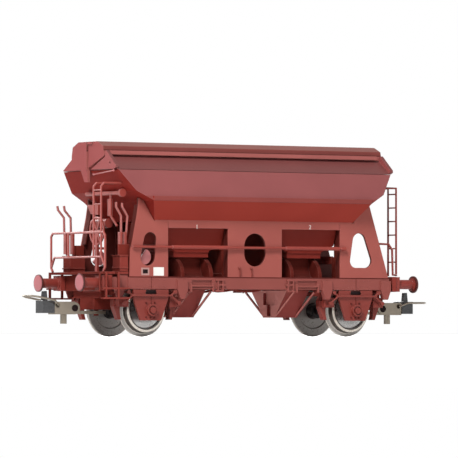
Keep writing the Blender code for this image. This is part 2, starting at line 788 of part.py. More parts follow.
def build_side_walls():
    """Centre, left and right wall plates on both sides, with flanges along their bay edges"""
    foot = SOLE_TOP + SEAM
    head = HOPPER_FOOT_Z - SEAM
    centre = (
        (-BAY_INNER_X, foot),
        (BAY_INNER_X, foot),
        (BAY_INNER_X, STRIP_BOTTOM),
        (BAY_OUTER_X - SEAM, STRIP_BOTTOM),
        (BAY_OUTER_X - SEAM, head),
        (-BAY_OUTER_X + SEAM, head),
        (-BAY_OUTER_X + SEAM, STRIP_BOTTOM),
        (-BAY_INNER_X, STRIP_BOTTOM),
    )
    steps = ROUND_STEPS * 2
    straight = PORTHOLE_HALF_Z - PORTHOLE_HALF_X
    porthole = wrapped((
        (0, PORTHOLE_Z + straight, PORTHOLE_HALF_X),
        (0, PORTHOLE_Z - straight, PORTHOLE_HALF_X),
    ), steps)
    # outer edge, hole circles
    ends = {
        "left": (LEFT_PANEL_EDGE, LEFT_HOLE_CIRCLES),
        "right": (RIGHT_PANEL_EDGE, RIGHT_HOLE_CIRCLES),
    }
    for side, sign in SIDES:
        low, high = panel_y(sign)
        flange_y = inward(sign, BAY_FLANGE)
        flanges = [
            block((way * BAY_INNER_X, way * (BAY_INNER_X - SHEET)), flange_y, (foot, head))
            for _, way in ENDS
        ]
        piece("side_wall_centre_" + side, "brown", [prism(centre, "Y", low, high)] + flanges,
              [prism(porthole, "Y", low - OVERRUN, high + OVERRUN)])
        for end, direction in ENDS:
            edge, circles = ends[end]
            outline = (
                ((BAY_OUTER_X, foot),) + edge + (
                    (HOPPER_EDGE_X + PANEL_REST, HOPPER_EDGE_Z - PANEL_REST),
                    (HOPPER_FOOT_X + PANEL_REST, HOPPER_FOOT_Z - SEAM),
                    (BAY_OUTER_X, head),
                )
            )
            hole = mirrored(wrapped(circles), direction)
            shapes = [
                prism(mirrored(outline, direction), "Y", low, high),
                block((direction * BAY_OUTER_X, direction * (BAY_OUTER_X + SHEET)), flange_y, (foot, head)),
            ]
            if end == "left":
                folded = edge[2:5]
                band = list(folded) + [(x - EDGE_SHEET, z) for x, z in reversed(folded)]
                shapes.append(prism(mirrored(band, direction), "Y", *inward(sign, EDGE_FLANGE + SHEET)))
            piece("side_wall_%s_%s" % (end, side), "brown", shapes,
                  [prism(hole, "Y", low - OVERRUN, high + OVERRUN)])


def build_pockets():
    """Funnelled pockets under the tub, and the cheeked chutes below them"""
    top = HOPPER_FOOT_Z - SEAM
    inner_x = BAY_INNER_X + SEAM
    outer_x = BAY_OUTER_X - SEAM
    knee_share = (POCKET_KNEE_Z - POCKET_WAIST_Z) / (top - POCKET_WAIST_Z)
    knee_y = between(POCKET_WAIST_Y, POCKET_TOP_Y, knee_share)
    # inner x, outer x, half width, height
    sections = (
        (POCKET_LIP_INNER_X, POCKET_LIP_OUTER_X, POCKET_WAIST_Y, POCKET_FOOT_Z),
        (POCKET_LIP_INNER_X, POCKET_LIP_OUTER_X, POCKET_WAIST_Y, POCKET_WAIST_Z),
        (inner_x, outer_x, knee_y, POCKET_KNEE_Z),
        (inner_x, outer_x, POCKET_TOP_Y, top),
    )
    lifts = (SHEET, 0, 0, OVERRUN)
    cheek = [(0, POCKET_FOOT_Z)] + chute_flank(CHUTE_FOOT_Y, 1)
    body = [(0, POCKET_FOOT_Z)] + chute_flank(CHUTE_FOOT_Y - CHUTE_RECESS, -1)
    for end, sign in ENDS:
        outer = [ring(*sorted((sign * a, sign * b)), y, z) for a, b, y, z in sections]
        inner = [
            ring(*sorted((sign * (a + SHEET), sign * (b - SHEET))), y - SHEET, z + lift)
            for (a, b, y, z), lift in zip(sections, lifts)
        ]
        lips = [
            block((sign * POCKET_LIP_INNER_X, sign * POCKET_LIP_OUTER_X),
                  (way * (POCKET_WAIST_Y - SEAM), way * (POCKET_WAIST_Y + LIP_PROUD)),
                  (POCKET_WAIST_Z - FINE, POCKET_WAIST_Z + FINE))
            for _, way in SIDES
        ]
        piece("pocket_" + end, "brown", [loft(outer)] + lips, [loft(inner)])
        x_low, x_high = sign * CHUTE_INNER_X, sign * CHUTE_OUTER_X
        thick = sign * CHEEK_THICK
        piece("chute_" + end, "brown", [
            prism(saddle(body), "X", x_low, x_high),
            prism(saddle(cheek), "X", x_low, x_low + thick),
            prism(saddle(cheek), "X", x_high, x_high - thick),
        ])


def chute_flank(foot_y, bulge):
    """One flank of a chute, top first, as (y, z): bulging with 1, hollow with -1"""
    reach = foot_y - CHUTE_TOP_Y
    drop = POCKET_FOOT_Z - CHUTE_FOOT_Z
    points = []
    for step in range(CHUTE_STEPS + 1):
        angle = math.pi / 2 * step / CHUTE_STEPS
        if bulge > 0:
            points.append((
                CHUTE_TOP_Y + reach * math.sin(angle),
                CHUTE_FOOT_Z + drop * math.cos(angle),
            ))
        else:
            points.append((
                CHUTE_TOP_Y + reach * (1 - math.cos(angle)),
                POCKET_FOOT_Z - drop * math.sin(angle),
            ))
    return points


def saddle(flank):
    """Both flanks of a chute joined over its crest and under its foot"""
    foot = CHUTE_FOOT_Z - SHEET / 2
    outline = [(-y, z) for y, z in flank[1:]]
    outline += [(-flank[-1][0], foot), (flank[-1][0], foot)]
    outline += [(y, z) for y, z in reversed(flank[1:])]
    return outline


def build_frame():
    """Sole bars, inner rails with cross members, and headstocks"""
    for side, sign in SIDES:
        sole_bar(side, sign)
    rail_x = HEADSTOCK_X - HEADSTOCK_THICK - SEAM
    rail_top = CHUTE_FOOT_Z - SHEET / 2 - SEAM
    shapes = []
    for _, sign in SIDES:
        rail = sorted((sign * FRAME_RAIL_Y, sign * (FRAME_RAIL_Y + FRAME_RAIL_WIDTH)))
        shapes.append(block((-rail_x, rail_x), rail, (SOLE_BOTTOM, rail_top)))
    cross_y = PANEL_FACE_Y - SOLE_THICK - SEAM
    for place in CROSS_PLACES:
        for _, sign in ENDS:
            shapes.append(block(
                (sign * place - CROSS_HALF, sign * place + CROSS_HALF),
                (-cross_y, cross_y), (SOLE_BOTTOM, rail_top),
            ))
    piece("underframe", "dark_brown", shapes)
    for end, sign in ENDS:
        piece("headstock_" + end, "brown", [block(
            (sign * HEADSTOCK_X, sign * (HEADSTOCK_X - HEADSTOCK_THICK)),
            (-HEADSTOCK_Y, HEADSTOCK_Y), (HEADSTOCK_BOTTOM, HEADSTOCK_TOP - SEAM),
        )])


def build_funnels():
    """Trapezoid funnels between the wheels, with struts down their flanks"""
    top = SOLE_BOTTOM - SEAM
    outline = (
        (-FUNNEL_FOOT_Y, FUNNEL_FOOT_Z), (FUNNEL_FOOT_Y, FUNNEL_FOOT_Z),
        (FUNNEL_TOP_Y, top), (-FUNNEL_TOP_Y, top),
    )
    slot = (
        (-FUNNEL_STEM_HALF, FUNNEL_SLOT_LOW_Z), (FUNNEL_STEM_HALF, FUNNEL_SLOT_LOW_Z),
        (FUNNEL_STEM_HALF, FUNNEL_SLOT_BEND_Z), (FUNNEL_SLOT_HALF, FUNNEL_SLOT_BEND_Z),
        (FUNNEL_SLOT_HALF, FUNNEL_SLOT_TOP_Z), (-FUNNEL_SLOT_HALF, FUNNEL_SLOT_TOP_Z),
        (-FUNNEL_SLOT_HALF, FUNNEL_SLOT_BEND_Z), (-FUNNEL_STEM_HALF, FUNNEL_SLOT_BEND_Z),
    )
    for end, sign in ENDS:
        low_x, high_x = sorted((sign * FUNNEL_INNER_X, sign * FUNNEL_OUTER_X))
        shapes = [prism(outline, "X", low_x, high_x)]
        for x in (low_x + STRUT_RADIUS, high_x - STRUT_RADIUS):
            for _, way in SIDES:
                shapes.append(rod([
                    (x, way * FUNNEL_FOOT_Y, FUNNEL_FOOT_Z + STRUT_RADIUS),
                    (x, way * STRUT_TOP_Y, STRUT_TOP_Z),
                ], STRUT_RADIUS))
        piece("funnel_" + end, "brown", shapes, [prism(slot, "X", low_x - OVERRUN, low_x + SHEET)])


def build_axle_guards():
    """W-shaped guard plates with axlebox, slot, spring ledge and shackles"""
    top = SOLE_BOTTOM - SEAM
    foot = AXLE_Z - GUARD_FOOT_DROP
    outline = (
        (-GUARD_FOOT_HALF, foot), (GUARD_FOOT_HALF, foot),
        (GUARD_TOP_HALF, GUARD_BEND_Z), (GUARD_TOP_HALF, top),
        (-GUARD_TOP_HALF, top), (-GUARD_TOP_HALF, GUARD_BEND_Z),
    )
    box_foot = GUARD_Y + GUARD_THICK / 2
    box_rim = AXLEBOX_FACE_Y - FINE
    # distance from the centre plane, radius
    box_profile = (
        (box_foot, 0), (box_foot, AXLEBOX_RADIUS),
        (box_rim, AXLEBOX_RADIUS), (box_rim, AXLEBOX_GROOVE_RADIUS),
        (box_rim - FINE, AXLEBOX_GROOVE_RADIUS), (box_rim - FINE, AXLEBOX_CAP_RADIUS),
        (AXLEBOX_FACE_Y, AXLEBOX_CAP_RADIUS), (AXLEBOX_FACE_Y, 0),
    )
    for end, direction in ENDS:
        centre_x = direction * AXLE_X
        for side, sign in SIDES:
            low, high = sorted((sign * GUARD_Y, sign * (GUARD_Y + GUARD_THICK)))
            shackle_y = sign * SHACKLE_Y
            shapes = [prism([(centre_x + a, b) for a, b in outline], "Y", low, high)]
            shapes.append(block(
                (centre_x - LEDGE_HALF, centre_x + LEDGE_HALF),
                (sign * (GUARD_Y + GUARD_THICK / 2), shackle_y + sign * FINE),
                (LEDGE_Z - LEDGE_HALF_HEIGHT, LEDGE_Z + LEDGE_HALF_HEIGHT),
            ))
            for way in (-1, 1):
                root = (centre_x + way * (LEDGE_HALF - THIN), shackle_y, LEDGE_Z)
                for reach, z in SHACKLE_PINS:
                    tip_x = centre_x + way * reach
                    shapes.append(rod([root, (tip_x, shackle_y, z)], LINK_RADIUS))
                    shapes.append(disc((tip_x, shackle_y, z), "Y", -FINE, FINE, SHACKLE_RADIUS, SMALL_STEPS))
            profile = [(sign * place, radius) for place, radius in box_profile]
            shapes.append(turned(profile, (centre_x, 0, AXLE_Z)))
            slot = block(
                (centre_x - GUARD_SLOT_HALF, centre_x + GUARD_SLOT_HALF),
                (low - OVERRUN, high + OVERRUN),
                (GUARD_SLOT_Z - GUARD_SLOT_HEIGHT, GUARD_SLOT_Z),
            )
            socket = disc((centre_x, 0, AXLE_Z), "Y", *sorted((
                sign * (GUARD_Y - OVERRUN), sign * (GUARD_Y + AXLE_PIN_LENGTH),
            )), AXLE_PIN_RADIUS + RUN_GAP)
            piece("axle_guard_%s_%s" % (end, side), "brown", shapes, [slot, socket])


def wheel_profile(sign):
    """Tyre, web, hub and inner bush of a wheel as (distance from the centre line, radius)"""
    inner = WHEEL_INNER
    outer = inner + WHEEL_WIDTH
    bore = AXLE_RADIUS + SEAM
    rim = TREAD_RADIUS - RIM_THICK
    bush = inner - BUSH_LENGTH
    inner_web = inner + WEB_RECESS / 2
    points = (
        (bush, bore), (bush, BUSH_RADIUS), (inner_web, BUSH_RADIUS), (inner_web, rim - SEAM * 2),
        (inner, rim), (inner, FLANGE_RADIUS - FLANGE_WIDTH / 3), (inner + FLANGE_WIDTH / 3, FLANGE_RADIUS),
        (inner + FLANGE_WIDTH * 2 / 3, FLANGE_RADIUS), (inner + FLANGE_WIDTH, TREAD_RADIUS + SEAM),
        (outer - SEAM * 2, TREAD_RADIUS), (outer, TREAD_RADIUS - SEAM * 2), (outer, rim),
        (outer - WEB_RECESS, rim - SEAM * 2), (outer - WEB_RECESS, HUB_RADIUS + SEAM),
        (outer - WEB_RECESS / 2, HUB_RADIUS), (outer - WEB_RECESS / 2, bore),
        (bush, bore),
    )
    return [(sign * place, radius) for place, radius in points]


def build_wheelsets():
    """Four wheels on two pin-point axles"""
    shoulder = GUARD_Y - RUN_GAP
    tip = GUARD_Y + AXLE_PIN_LENGTH - RUN_GAP
    half = (
        (shoulder, AXLE_RADIUS), (shoulder, AXLE_PIN_RADIUS), (tip - AXLE_PIN_RADIUS, AXLE_PIN_RADIUS),
        (tip, 0),
    )
    profile = [(-place, radius) for place, radius in reversed(half)] + list(half)
    for end, direction in ENDS:
        centre = (direction * AXLE_X, 0, AXLE_Z)
        parts = [piece("axle_" + end, "steel", [turned(profile, centre)], smooth=True)]
        for side, sign in SIDES:
            mesh = turned(wheel_profile(sign), centre, steps=WHEEL_STEPS)
            parts.append(piece("wheel_%s_%s" % (end, side), "steel", [mesh], smooth=True))
        hang("wheelset_" + end, centre, parts)


def hang(name, place, parts):
    """Parent parts to an empty that stands on their joint"""
    pivot = bpy.data.objects.new(name, None)
    pivot.location = place
    bpy.context.scene.collection.objects.link(pivot)
    bpy.context.view_layer.update()
    for part in parts:
        part.parent = pivot
        part.matrix_parent_inverse = pivot.matrix_world.inverted()


def build_brake_gear():
    """Shoes on both sides of each wheel, hung on cross beams joined by pull rods"""
    outline = shoe_outline()
    for end, direction in ENDS:
        centre_x = direction * AXLE_X
        shapes = []
        beams = []
        for way in (-1, 1):
            beam_x = centre_x + way * BEAM_REACH
            beams.append(beam_x)
            shoe = [(centre_x + way * x, z) for x, z in outline]
            for _, sign in SIDES:
                y = (sign * SHOE_Y - SHOE_HALF_WIDTH, sign * SHOE_Y + SHOE_HALF_WIDTH)
                shapes.append(prism(shoe, "Y", *y))
                housing_x = (centre_x + way * HOUSING_INNER, centre_x + way * HOUSING_OUTER)
                arm_x = (beam_x, housing_x[1])
                height = (HOUSING_LOW, HOUSING_HIGH)
                shapes.append(block(housing_x, (sign * HOUSING_Y, sign * (GUARD_Y - SEAM)), height))
                shapes.append(block(arm_x, (sign * SHOE_Y, sign * (HOUSING_Y + THIN)),
                                    (HOUSING_LOW + THIN, SHOE_ARM_TOP)))
                rail = (sign * FRAME_RAIL_Y, sign * (FRAME_RAIL_Y + FRAME_RAIL_WIDTH))
                shapes.append(block(
                    (beam_x - BEAM_HALF, beam_x + BEAM_HALF), rail, (PULL_ROD_Z, SOLE_BOTTOM - SEAM),
                ))
            shapes.append(block(
                (beam_x - BEAM_HALF, beam_x + BEAM_HALF),
                (-SHOE_Y, SHOE_Y), (PULL_ROD_Z - BEAM_HALF, PULL_ROD_Z + BEAM_HALF),
            ))
        shapes.append(block(
            sorted(beams), (-BEAM_HALF, BEAM_HALF),
            (PULL_ROD_Z - BEAM_HALF, PULL_ROD_Z + BEAM_HALF),
        ))
        piece("brake_gear_" + end, "brown", shapes)


def build_buffers():
    """Round heads on stepped stems"""
    base_x = HEADSTOCK_X + SEAM
    sleeve_x = base_x + BUFFER_BASE_THICK
    stem_x = BUFFER_FACE_X - BUFFER_STEM_LENGTH
    for end, direction in ENDS:
        for side, sign in SIDES:
            centre = (0, sign * BUFFER_Y, BUFFER_Z)
            profile = (
                (sleeve_x - BUFFER_BASE_THICK / 2, 0),
                (sleeve_x - BUFFER_BASE_THICK / 2, BUFFER_COLLAR_RADIUS),
                (sleeve_x + FINE, BUFFER_COLLAR_RADIUS),
                (sleeve_x + FINE, BUFFER_SLEEVE_RADIUS),
                (stem_x, BUFFER_SLEEVE_RADIUS),
                (stem_x, BUFFER_STEM_RADIUS),
                (BUFFER_FACE_X - BUFFER_HEAD_THICK * 4 / 3, BUFFER_STEM_RADIUS),
                (BUFFER_FACE_X - BUFFER_HEAD_THICK, BUFFER_HEAD_RADIUS),
                (BUFFER_FACE_X - BUFFER_HEAD_THICK / 3, BUFFER_HEAD_RADIUS),
                (BUFFER_FACE_X, BUFFER_HEAD_RADIUS * 2 / 3),
                (BUFFER_FACE_X, 0),
            )
            spindle = turned([(direction * a, r) for a, r in profile], centre, "X")
            base = block(
                (direction * base_x, direction * sleeve_x),
                (sign * BUFFER_Y - BUFFER_BASE_HALF, sign * BUFFER_Y + BUFFER_BASE_HALF),
                (BUFFER_Z - BUFFER_BASE_HALF, BUFFER_Z + BUFFER_BASE_HALF),
            )
            piece("buffer_%s_%s" % (end, side), "brown", [spindle, base], smooth=True)


def build_couplers():
    """Swinging hook couplers under their mounts, each with a lifting hoop"""
    mount_low = COUPLER_TONGUE_TOP + RUN_GAP
    outer_x = HEADSTOCK_X - HEADSTOCK_THICK - SEAM
    rail_y = FRAME_RAIL_Y + FRAME_RAIL_WIDTH
    for end, direction in ENDS:
        pivot = (direction * COUPLER_PIVOT_X, 0, 0)
        pin_low = COUPLER_Z - RUN_GAP
        mount = [
            block((direction * COUPLER_MOUNT_INNER, direction * outer_x),
                  (-COUPLER_MOUNT_HALF_Y, COUPLER_MOUNT_HALF_Y), (mount_low, COUPLER_MOUNT_TOP)),
            block((direction * (outer_x - CROSS_HALF), direction * outer_x), (-rail_y, rail_y),
                  (COUPLER_MOUNT_TOP - THIN, SOLE_BOTTOM - SEAM)),
            disc(pivot, "Z", pin_low, mount_low + THIN, COUPLER_PIN_RADIUS),
        ]
        piece("coupler_mount_" + end, "brown", mount)
        build_coupler(end, direction, pivot)


def build_coupler(end, direction, pivot):
    """Tongue, shank and hook head of one coupler, with its hoop"""
    def span(a, b):
        return (direction * a, direction * b)

    half = (-COUPLER_HALF_Y, COUPLER_HALF_Y)
    boss = (direction * COUPLER_BOSS_X, 0, COUPLER_Z + COUPLER_BOSS_RADIUS)
    hoop_axis = (direction * HOOP_PIVOT_X, 0, HOOP_PIVOT_Z)
    shank = [
        block(span(COUPLER_PIVOT_X - COUPLER_TONGUE_END, COUPLER_BOSS_X),
              (-COUPLER_TONGUE_HALF, COUPLER_TONGUE_HALF), (COUPLER_Z + SEAM, COUPLER_TONGUE_TOP)),
        disc(boss, "Y", *half, COUPLER_BOSS_RADIUS),
        block(span(COUPLER_BOSS_X, COUPLER_HEAD_X - SEAM), half, (COUPLER_Z, COUPLER_TOP)),
        block(span(TRIP_INNER_X, TRIP_OUTER_X), (-TRIP_HALF, TRIP_HALF), (TRIP_FOOT, COUPLER_Z + THIN)),
    ]
    cuts = [
        disc(pivot, "Z", COUPLER_Z - OVERRUN, COUPLER_TONGUE_TOP + OVERRUN, COUPLER_PIN_RADIUS + RUN_GAP,
             SMALL_STEPS * 2),
        disc(boss, "Y", -COUPLER_HALF_Y - OVERRUN, COUPLER_HALF_Y + OVERRUN, COUPLER_BOSS_HOLE, SMALL_STEPS),
        disc(hoop_axis, "Y", -COUPLER_HALF_Y - OVERRUN, COUPLER_HALF_Y + OVERRUN, HOOP_RADIUS + RUN_GAP,
             SMALL_STEPS),
    ]
    shank_piece = piece("coupler_shank_" + end, "dull_steel", shank, cuts)
    head_top = COUPLER_TOP + COUPLER_HEAD_LIFT
    hook = (
        (HOOK_INNER_X, head_top - THIN), (HOOK_OUTER_X, head_top - THIN),
        (HOOK_OUTER_X - HOOK_TAPER, HOOK_TOP), (HOOK_INNER_X + HOOK_TAPER, HOOK_TOP),
    )
    head = [
        block(span(COUPLER_HEAD_X, COUPLER_NOSE_X), (-COUPLER_HEAD_HALF_Y, COUPLER_HEAD_HALF_Y),
              (COUPLER_Z + COUPLER_HEAD_LIFT, head_top)),
        prism(mirrored(hook, direction), "Y", -HOOK_HALF_Y, HOOK_HALF_Y),
    ]
    head_piece = piece("coupler_head_" + end, "black", head)
    route = hoop_route(direction, HOOP_REST_DEGREES[end])
    hoop_piece = piece("coupler_hoop_" + end, "dull_steel", [rod(route, HOOP_RADIUS)], smooth=True)
    hang("coupler_" + end, pivot, [shank_piece, head_piece])
    hang("hoop_" + end, hoop_axis, [hoop_piece])


def build_platform():
    """Floor with its steps, railing with the ladder, and the control boxes"""
    floor_low = PLATFORM_Z
    floor_top = floor_low + PLATFORM_THICK
    floor = [block((-PLATFORM_OUTER_X, -LEFT_PANEL_EDGE[0][0] - RUN_GAP), (-HEADSTOCK_Y, HEADSTOCK_Y),
                   (floor_low, floor_top))]
    for _, sign in SIDES:
        y = sorted((sign * STEP_OUTER_Y, sign * (STEP_OUTER_Y - STEP_DEPTH)))
        for level in (STEP_HIGH_Z, STEP_LOW_Z):
            floor.append(block((-STEP_OUTER_X, -STEP_INNER_X), y, (level, level + STEP_THICK)))
        strap_y = sorted((sign * STEP_OUTER_Y, sign * (STEP_OUTER_Y - THIN)))
        for x in STRAP_PLACES:
            floor.append(block((-x, -x + THIN), strap_y, (STEP_LOW_Z, floor_top)))
            floor.append(block((-x, -x + THIN), (sign * STEP_OUTER_Y, sign * (HEADSTOCK_Y - THIN)),
                               (floor_low, floor_top)))
    floor.append(rod([
        (-HEADSTOCK_X - SEAM - LADDER_RADIUS, -GRAB_INNER_Y, GRAB_Z), (-GRAB_X, -GRAB_INNER_Y, GRAB_Z),
        (-GRAB_X, -GRAB_OUTER_Y, GRAB_Z), (-GRAB_X, -GRAB_OUTER_Y, floor_top - FINE),
    ], LADDER_RADIUS))
    piece("platform_floor", "brown", floor)
    build_railing()
    boxes = {"near": (NEAR_BOX_X, BOX_OUTER_Y), "far": (FAR_BOX_X, PANEL_FACE_Y - SOLE_STEP)}
    for side, sign in SIDES:
        outer_x, outer_y = boxes[side]
        shapes = [block((-outer_x, -BOX_INNER_X), (sign * outer_y, sign * BOX_INNER_Y),
                        (floor_top + SEAM, BOX_TOP))]
        for top in (BOX_TOP, BOX_BAND_Z):
            shapes.append(block(
                (-outer_x - BOX_RIM_PROUD, -BOX_INNER_X),
                (sign * (outer_y + BOX_RIM_PROUD), sign * (BOX_INNER_Y - BOX_RIM_PROUD)),
                (top - BOX_RIM, top),
            ))
        piece("control_box_" + side, "brown", shapes)


def build_railing():
    """Bent railing round the platform end, with posts and the ladder stiles"""
    x = -RAILING_X
    foot = PLATFORM_Z + PLATFORM_THICK + SEAM
    outer = RAILING_HALF_Y
    waist_in = outer - RAILING_CUT / 2
    shapes = [rod([
        (x, -waist_in, foot), (x, -outer, RAILING_WAIST), (x, -outer, RAILING_TOP - RAILING_CUT / 2),
        (x, -outer + RAILING_CUT / 2, RAILING_TOP), (x, outer - RAILING_CUT / 2, RAILING_TOP),
        (x, outer, RAILING_TOP - RAILING_CUT / 2), (x, outer, RAILING_WAIST), (x, waist_in, foot),
    ], RAILING_RADIUS)]
    shapes.append(rod([
        (x, -outer, RAILING_WAIST), (x, -outer + RAILING_CUT, RAILING_MID),
        (x, outer - RAILING_CUT, RAILING_MID), (x, outer, RAILING_WAIST),
    ], RAILING_RADIUS))
    shapes.append(rod([(x, POST_Y, RAILING_MID), (x, POST_Y, RAILING_TOP)], RAILING_RADIUS))
    wall_x = -end_x(LADDER_TOP) - SEAM - LADDER_RADIUS
    for y in (LADDER_NEAR_Y, LADDER_FAR_Y):
        shapes.append(rod([
            (x, -y, RAILING_MID), (x, -y, LADDER_TOP - RAILING_CUT / 2),
            (x + RAILING_CUT / 2, -y, LADDER_TOP), (wall_x, -y, LADDER_TOP),
        ], LADDER_RADIUS))
    for step in range(3):
        z = RAILING_TOP + RUNG_STEP * (step + 1)
        shapes.append(rod([(x, -LADDER_NEAR_Y, z), (x, -LADDER_FAR_Y, z)], RUNG_RADIUS))
    piece("platform_railing", "brown", shapes)


def build_end_ladder():
    """Tall ladder at the right end, with its brackets and the handrail beside it"""
    x = END_LADDER_X
    wall_x = end_x(LADDER_TOP) + SEAM + LADDER_RADIUS
    shapes = []
    for y in (LADDER_NEAR_Y, LADDER_FAR_Y):
        shapes.append(rod([
            (x, -y, END_LADDER_FOOT - LADDER_RADIUS), (x, -y, LADDER_TOP), (wall_x, -y, LADDER_TOP),
        ], LADDER_RADIUS))
    for step in range(RUNG_COUNT):
        z = RUNG_TOP - RUNG_STEP * step
        shapes.append(rod([(x, -LADDER_NEAR_Y, z), (x, -LADDER_FAR_Y, z)], RUNG_RADIUS))
    shapes.append(rod(
        [(a, -HANDRAIL_Y, b) for a, b in HANDRAIL_POINTS] + [(x, -LADDER_NEAR_Y, END_LADDER_FOOT)],
        LADDER_RADIUS,
    ))
    piece("end_ladder", "brown", shapes)


def build_operating_gear():
    """Long rods along the walls, levers, handwheel and roof gear at the platform"""
    levers = {"near": (NEAR_LEVERS, NEAR_LEVER_Y), "far": (FAR_LEVERS, FAR_LEVER_Y)}
    for side, sign in SIDES:
        y = sign * (PANEL_FACE_Y + SEAM * 2 + ROD_THICK_RADIUS)
        shapes = [rod([(-ROD_LEFT, y, ROD_Z), (ROD_RIGHT, y, ROD_Z)], ROD_RADIUS)]
        for _, end in ENDS:
            shapes.append(disc((0, y, ROD_Z), "X", *sorted((
                end * (BAY_INNER_X + SHEET), end * (BAY_OUTER_X - SHEET),
            )), ROD_THICK_RADIUS, SMALL_STEPS))
        shapes.append(disc((ROD_RIGHT, y, ROD_Z), "X", -ROD_END_RADIUS, ROD_END_RADIUS, ROD_THICK_RADIUS,
                           SMALL_STEPS))
        piece("operating_rod_" + side, "brown", shapes, smooth=True)
        routes, lever_y = levers[side]
        shapes = [rod([(-x, sign * lever_y, z) for x, z in route], LEVER_RADIUS) for route in routes]
        for route in routes:
            foot_x, foot_z = route[0]
            head_x = route[1][0]
            middle = (foot_x + head_x) / 2
            shapes.append(block(
                (-middle - LINK_HALF_X, -middle + LINK_HALF_X),
                (sign * lever_y - LINK_HALF_Y, sign * lever_y + LINK_HALF_Y),
                (foot_z + FINE, LINK_TOP),
            ))
        shapes.append(rod([(-route[1][0], sign * lever_y, LINK_TOP - FINE) for route in routes], RUNG_RADIUS))
        piece("levers_" + side, "brown", shapes)
    build_handwheel()
    build_roof_gear()


def inward(sign, depth):
    """From the outer face of a side wall to a depth behind it"""
    return sorted((sign * (PANEL_FACE_Y - depth), sign * (PANEL_FACE_Y - SHEET / 2)))


def sole_bar(side, sign):
    """A channel bar with spring brackets, the recess with its rod, and small gear"""
    face = sign * PANEL_FACE_Y
    back = sign * (PANEL_FACE_Y - SOLE_THICK)
    proud = sign * (PANEL_FACE_Y + BRACKET_PROUD)
    flush = sign * (PANEL_FACE_Y - SOLE_STEP)
    end_x = HEADSTOCK_X - HEADSTOCK_THICK - SEAM
    shapes = [
        block((-SOLE_LEFT, SOLE_RIGHT), (face, back), (SOLE_BOTTOM, SOLE_TOP)),
        block((-end_x, -SOLE_LEFT + THIN), (flush, back), (SOLE_BOTTOM, SOLE_TOP)),
        block((-COLUMN_OUTER_X, -SOLE_LEFT), (flush, sign * (PANEL_FACE_Y - SOLE_STEP - COLUMN_DEPTH)),
              (SOLE_BOTTOM, PLATFORM_Z - SEAM)),
    ]
    for _, end in ENDS:
        for way in (-1, 1):
            outline = [(end * AXLE_X + way * x, z) for x, z in BRACKET_OUTLINE]
            behind_steps = end < 0 and way < 0
            outer = flush if behind_steps else proud
            shapes.append(prism(outline, "Y", *sorted((outer, sign * (PANEL_FACE_Y - SHEET)))))
    cuts = []
    for _, end in ENDS:
        low_x, high_x = sorted((end * RECESS_INNER_X, end * RECESS_OUTER_X))
        cuts.append(block((low_x, high_x), (flush, proud), (RECESS_LOW, RECESS_HIGH)))
    gear = []
    gear_y = (sign * (PANEL_FACE_Y - SEAM), proud)
    rod_y = sign * (PANEL_FACE_Y + SOLE_ROD_RADIUS / 2)
    for _, end in ENDS:
        for low_x, high_x, low_z, high_z in SOLE_GEAR:
            gear.append(block((end * low_x, end * high_x), gear_y, (low_z, high_z)))
        gear.append(rod([
            (end * (RECESS_INNER_X - FINE), rod_y, SOLE_ROD_Z),
            (end * (RECESS_OUTER_X + FINE), rod_y, SOLE_ROD_Z),
        ], SOLE_ROD_RADIUS))
        for x in (RECESS_INNER_X - FINE, RECESS_OUTER_X + FINE):
            pin = [(end * x, rod_y, SOLE_PIN_FOOT), (end * x, rod_y, SOLE_PIN_TOP)]
            gear.append(rod(pin, SOLE_ROD_RADIUS))
    bar = piece("sole_bar_" + side, "brown", shapes, cuts)
    mesh = bar.data
    bpy.data.objects.remove(bar, do_unlink=True)
    piece("sole_bar_" + side, "brown", [mesh] + gear)


def shoe_outline():
    """A brake shoe that follows the wheel, as (distance from the axle, z)"""
    radius = FLANGE_RADIUS + SHOE_CLEAR
    points = []
    for step in range(SHOE_STEPS + 1):
        z = between(HANGER_TOP, SHOE_FOOT, step / SHOE_STEPS)
        points.append((math.sqrt(radius ** 2 - (z - AXLE_Z) ** 2), z))
    return points + list(SHOE_BACK)


def hoop_route(direction, degrees):
    """Centre line of a hoop, raised about its cross pin by an angle"""
    near_y = COUPLER_HALF_Y + RUN_GAP + HOOP_RADIUS
    arm_y = HOOP_HALF_Y - HOOP_RADIUS
    # reach from the pin, half width, rise over the pin
    half = (
        (0, COUPLER_HALF_Y - HOOP_PIN_DEPTH, 0),
        (0, near_y, 0),
        (HOOP_ELBOW, arm_y, HOOP_RISE),
        (HOOP_REACH - HOOP_CORNER, arm_y, HOOP_RISE),
        (HOOP_REACH, arm_y - HOOP_CORNER, HOOP_RISE),
    )
    angle = math.radians(degrees)
    near = []
    for reach, y, rise in half:
        x = reach * math.cos(angle) - rise * math.sin(angle)
        z = reach * math.sin(angle) + rise * math.cos(angle)
        near.append((direction * (HOOP_PIVOT_X + x), -y, HOOP_PIVOT_Z + z))
    return near + [(x, -y, z) for x, y, z in reversed(near)]


def build_handwheel():
    """Spoked wheel that faces along the wagon, on its post"""
    x, y, z = -HANDWHEEL_X, -HANDWHEEL_Y, HANDWHEEL_Z
    ring_points = [
        (x, y + a, z + b) for a, b in arc((0, 0), WHEEL_RING_RADIUS, 0, 360, ROUND_STEPS)[:-1]
    ]
    shapes = [rod(ring_points, WHEEL_RING_WIRE, closed=True)]
    for angle in (0, 60, 120):
        a = WHEEL_RING_RADIUS * math.cos(math.radians(angle))
        b = WHEEL_RING_RADIUS * math.sin(math.radians(angle))
        shapes.append(rod([(x, y - a, z - b), (x, y + a, z + b)], WHEEL_RING_WIRE))
    shapes.append(rod([(x, y, PLATFORM_Z + PLATFORM_THICK + SEAM), (x, y, z)], HANDWHEEL_POST_RADIUS))
    piece("handwheel", "brown", shapes)


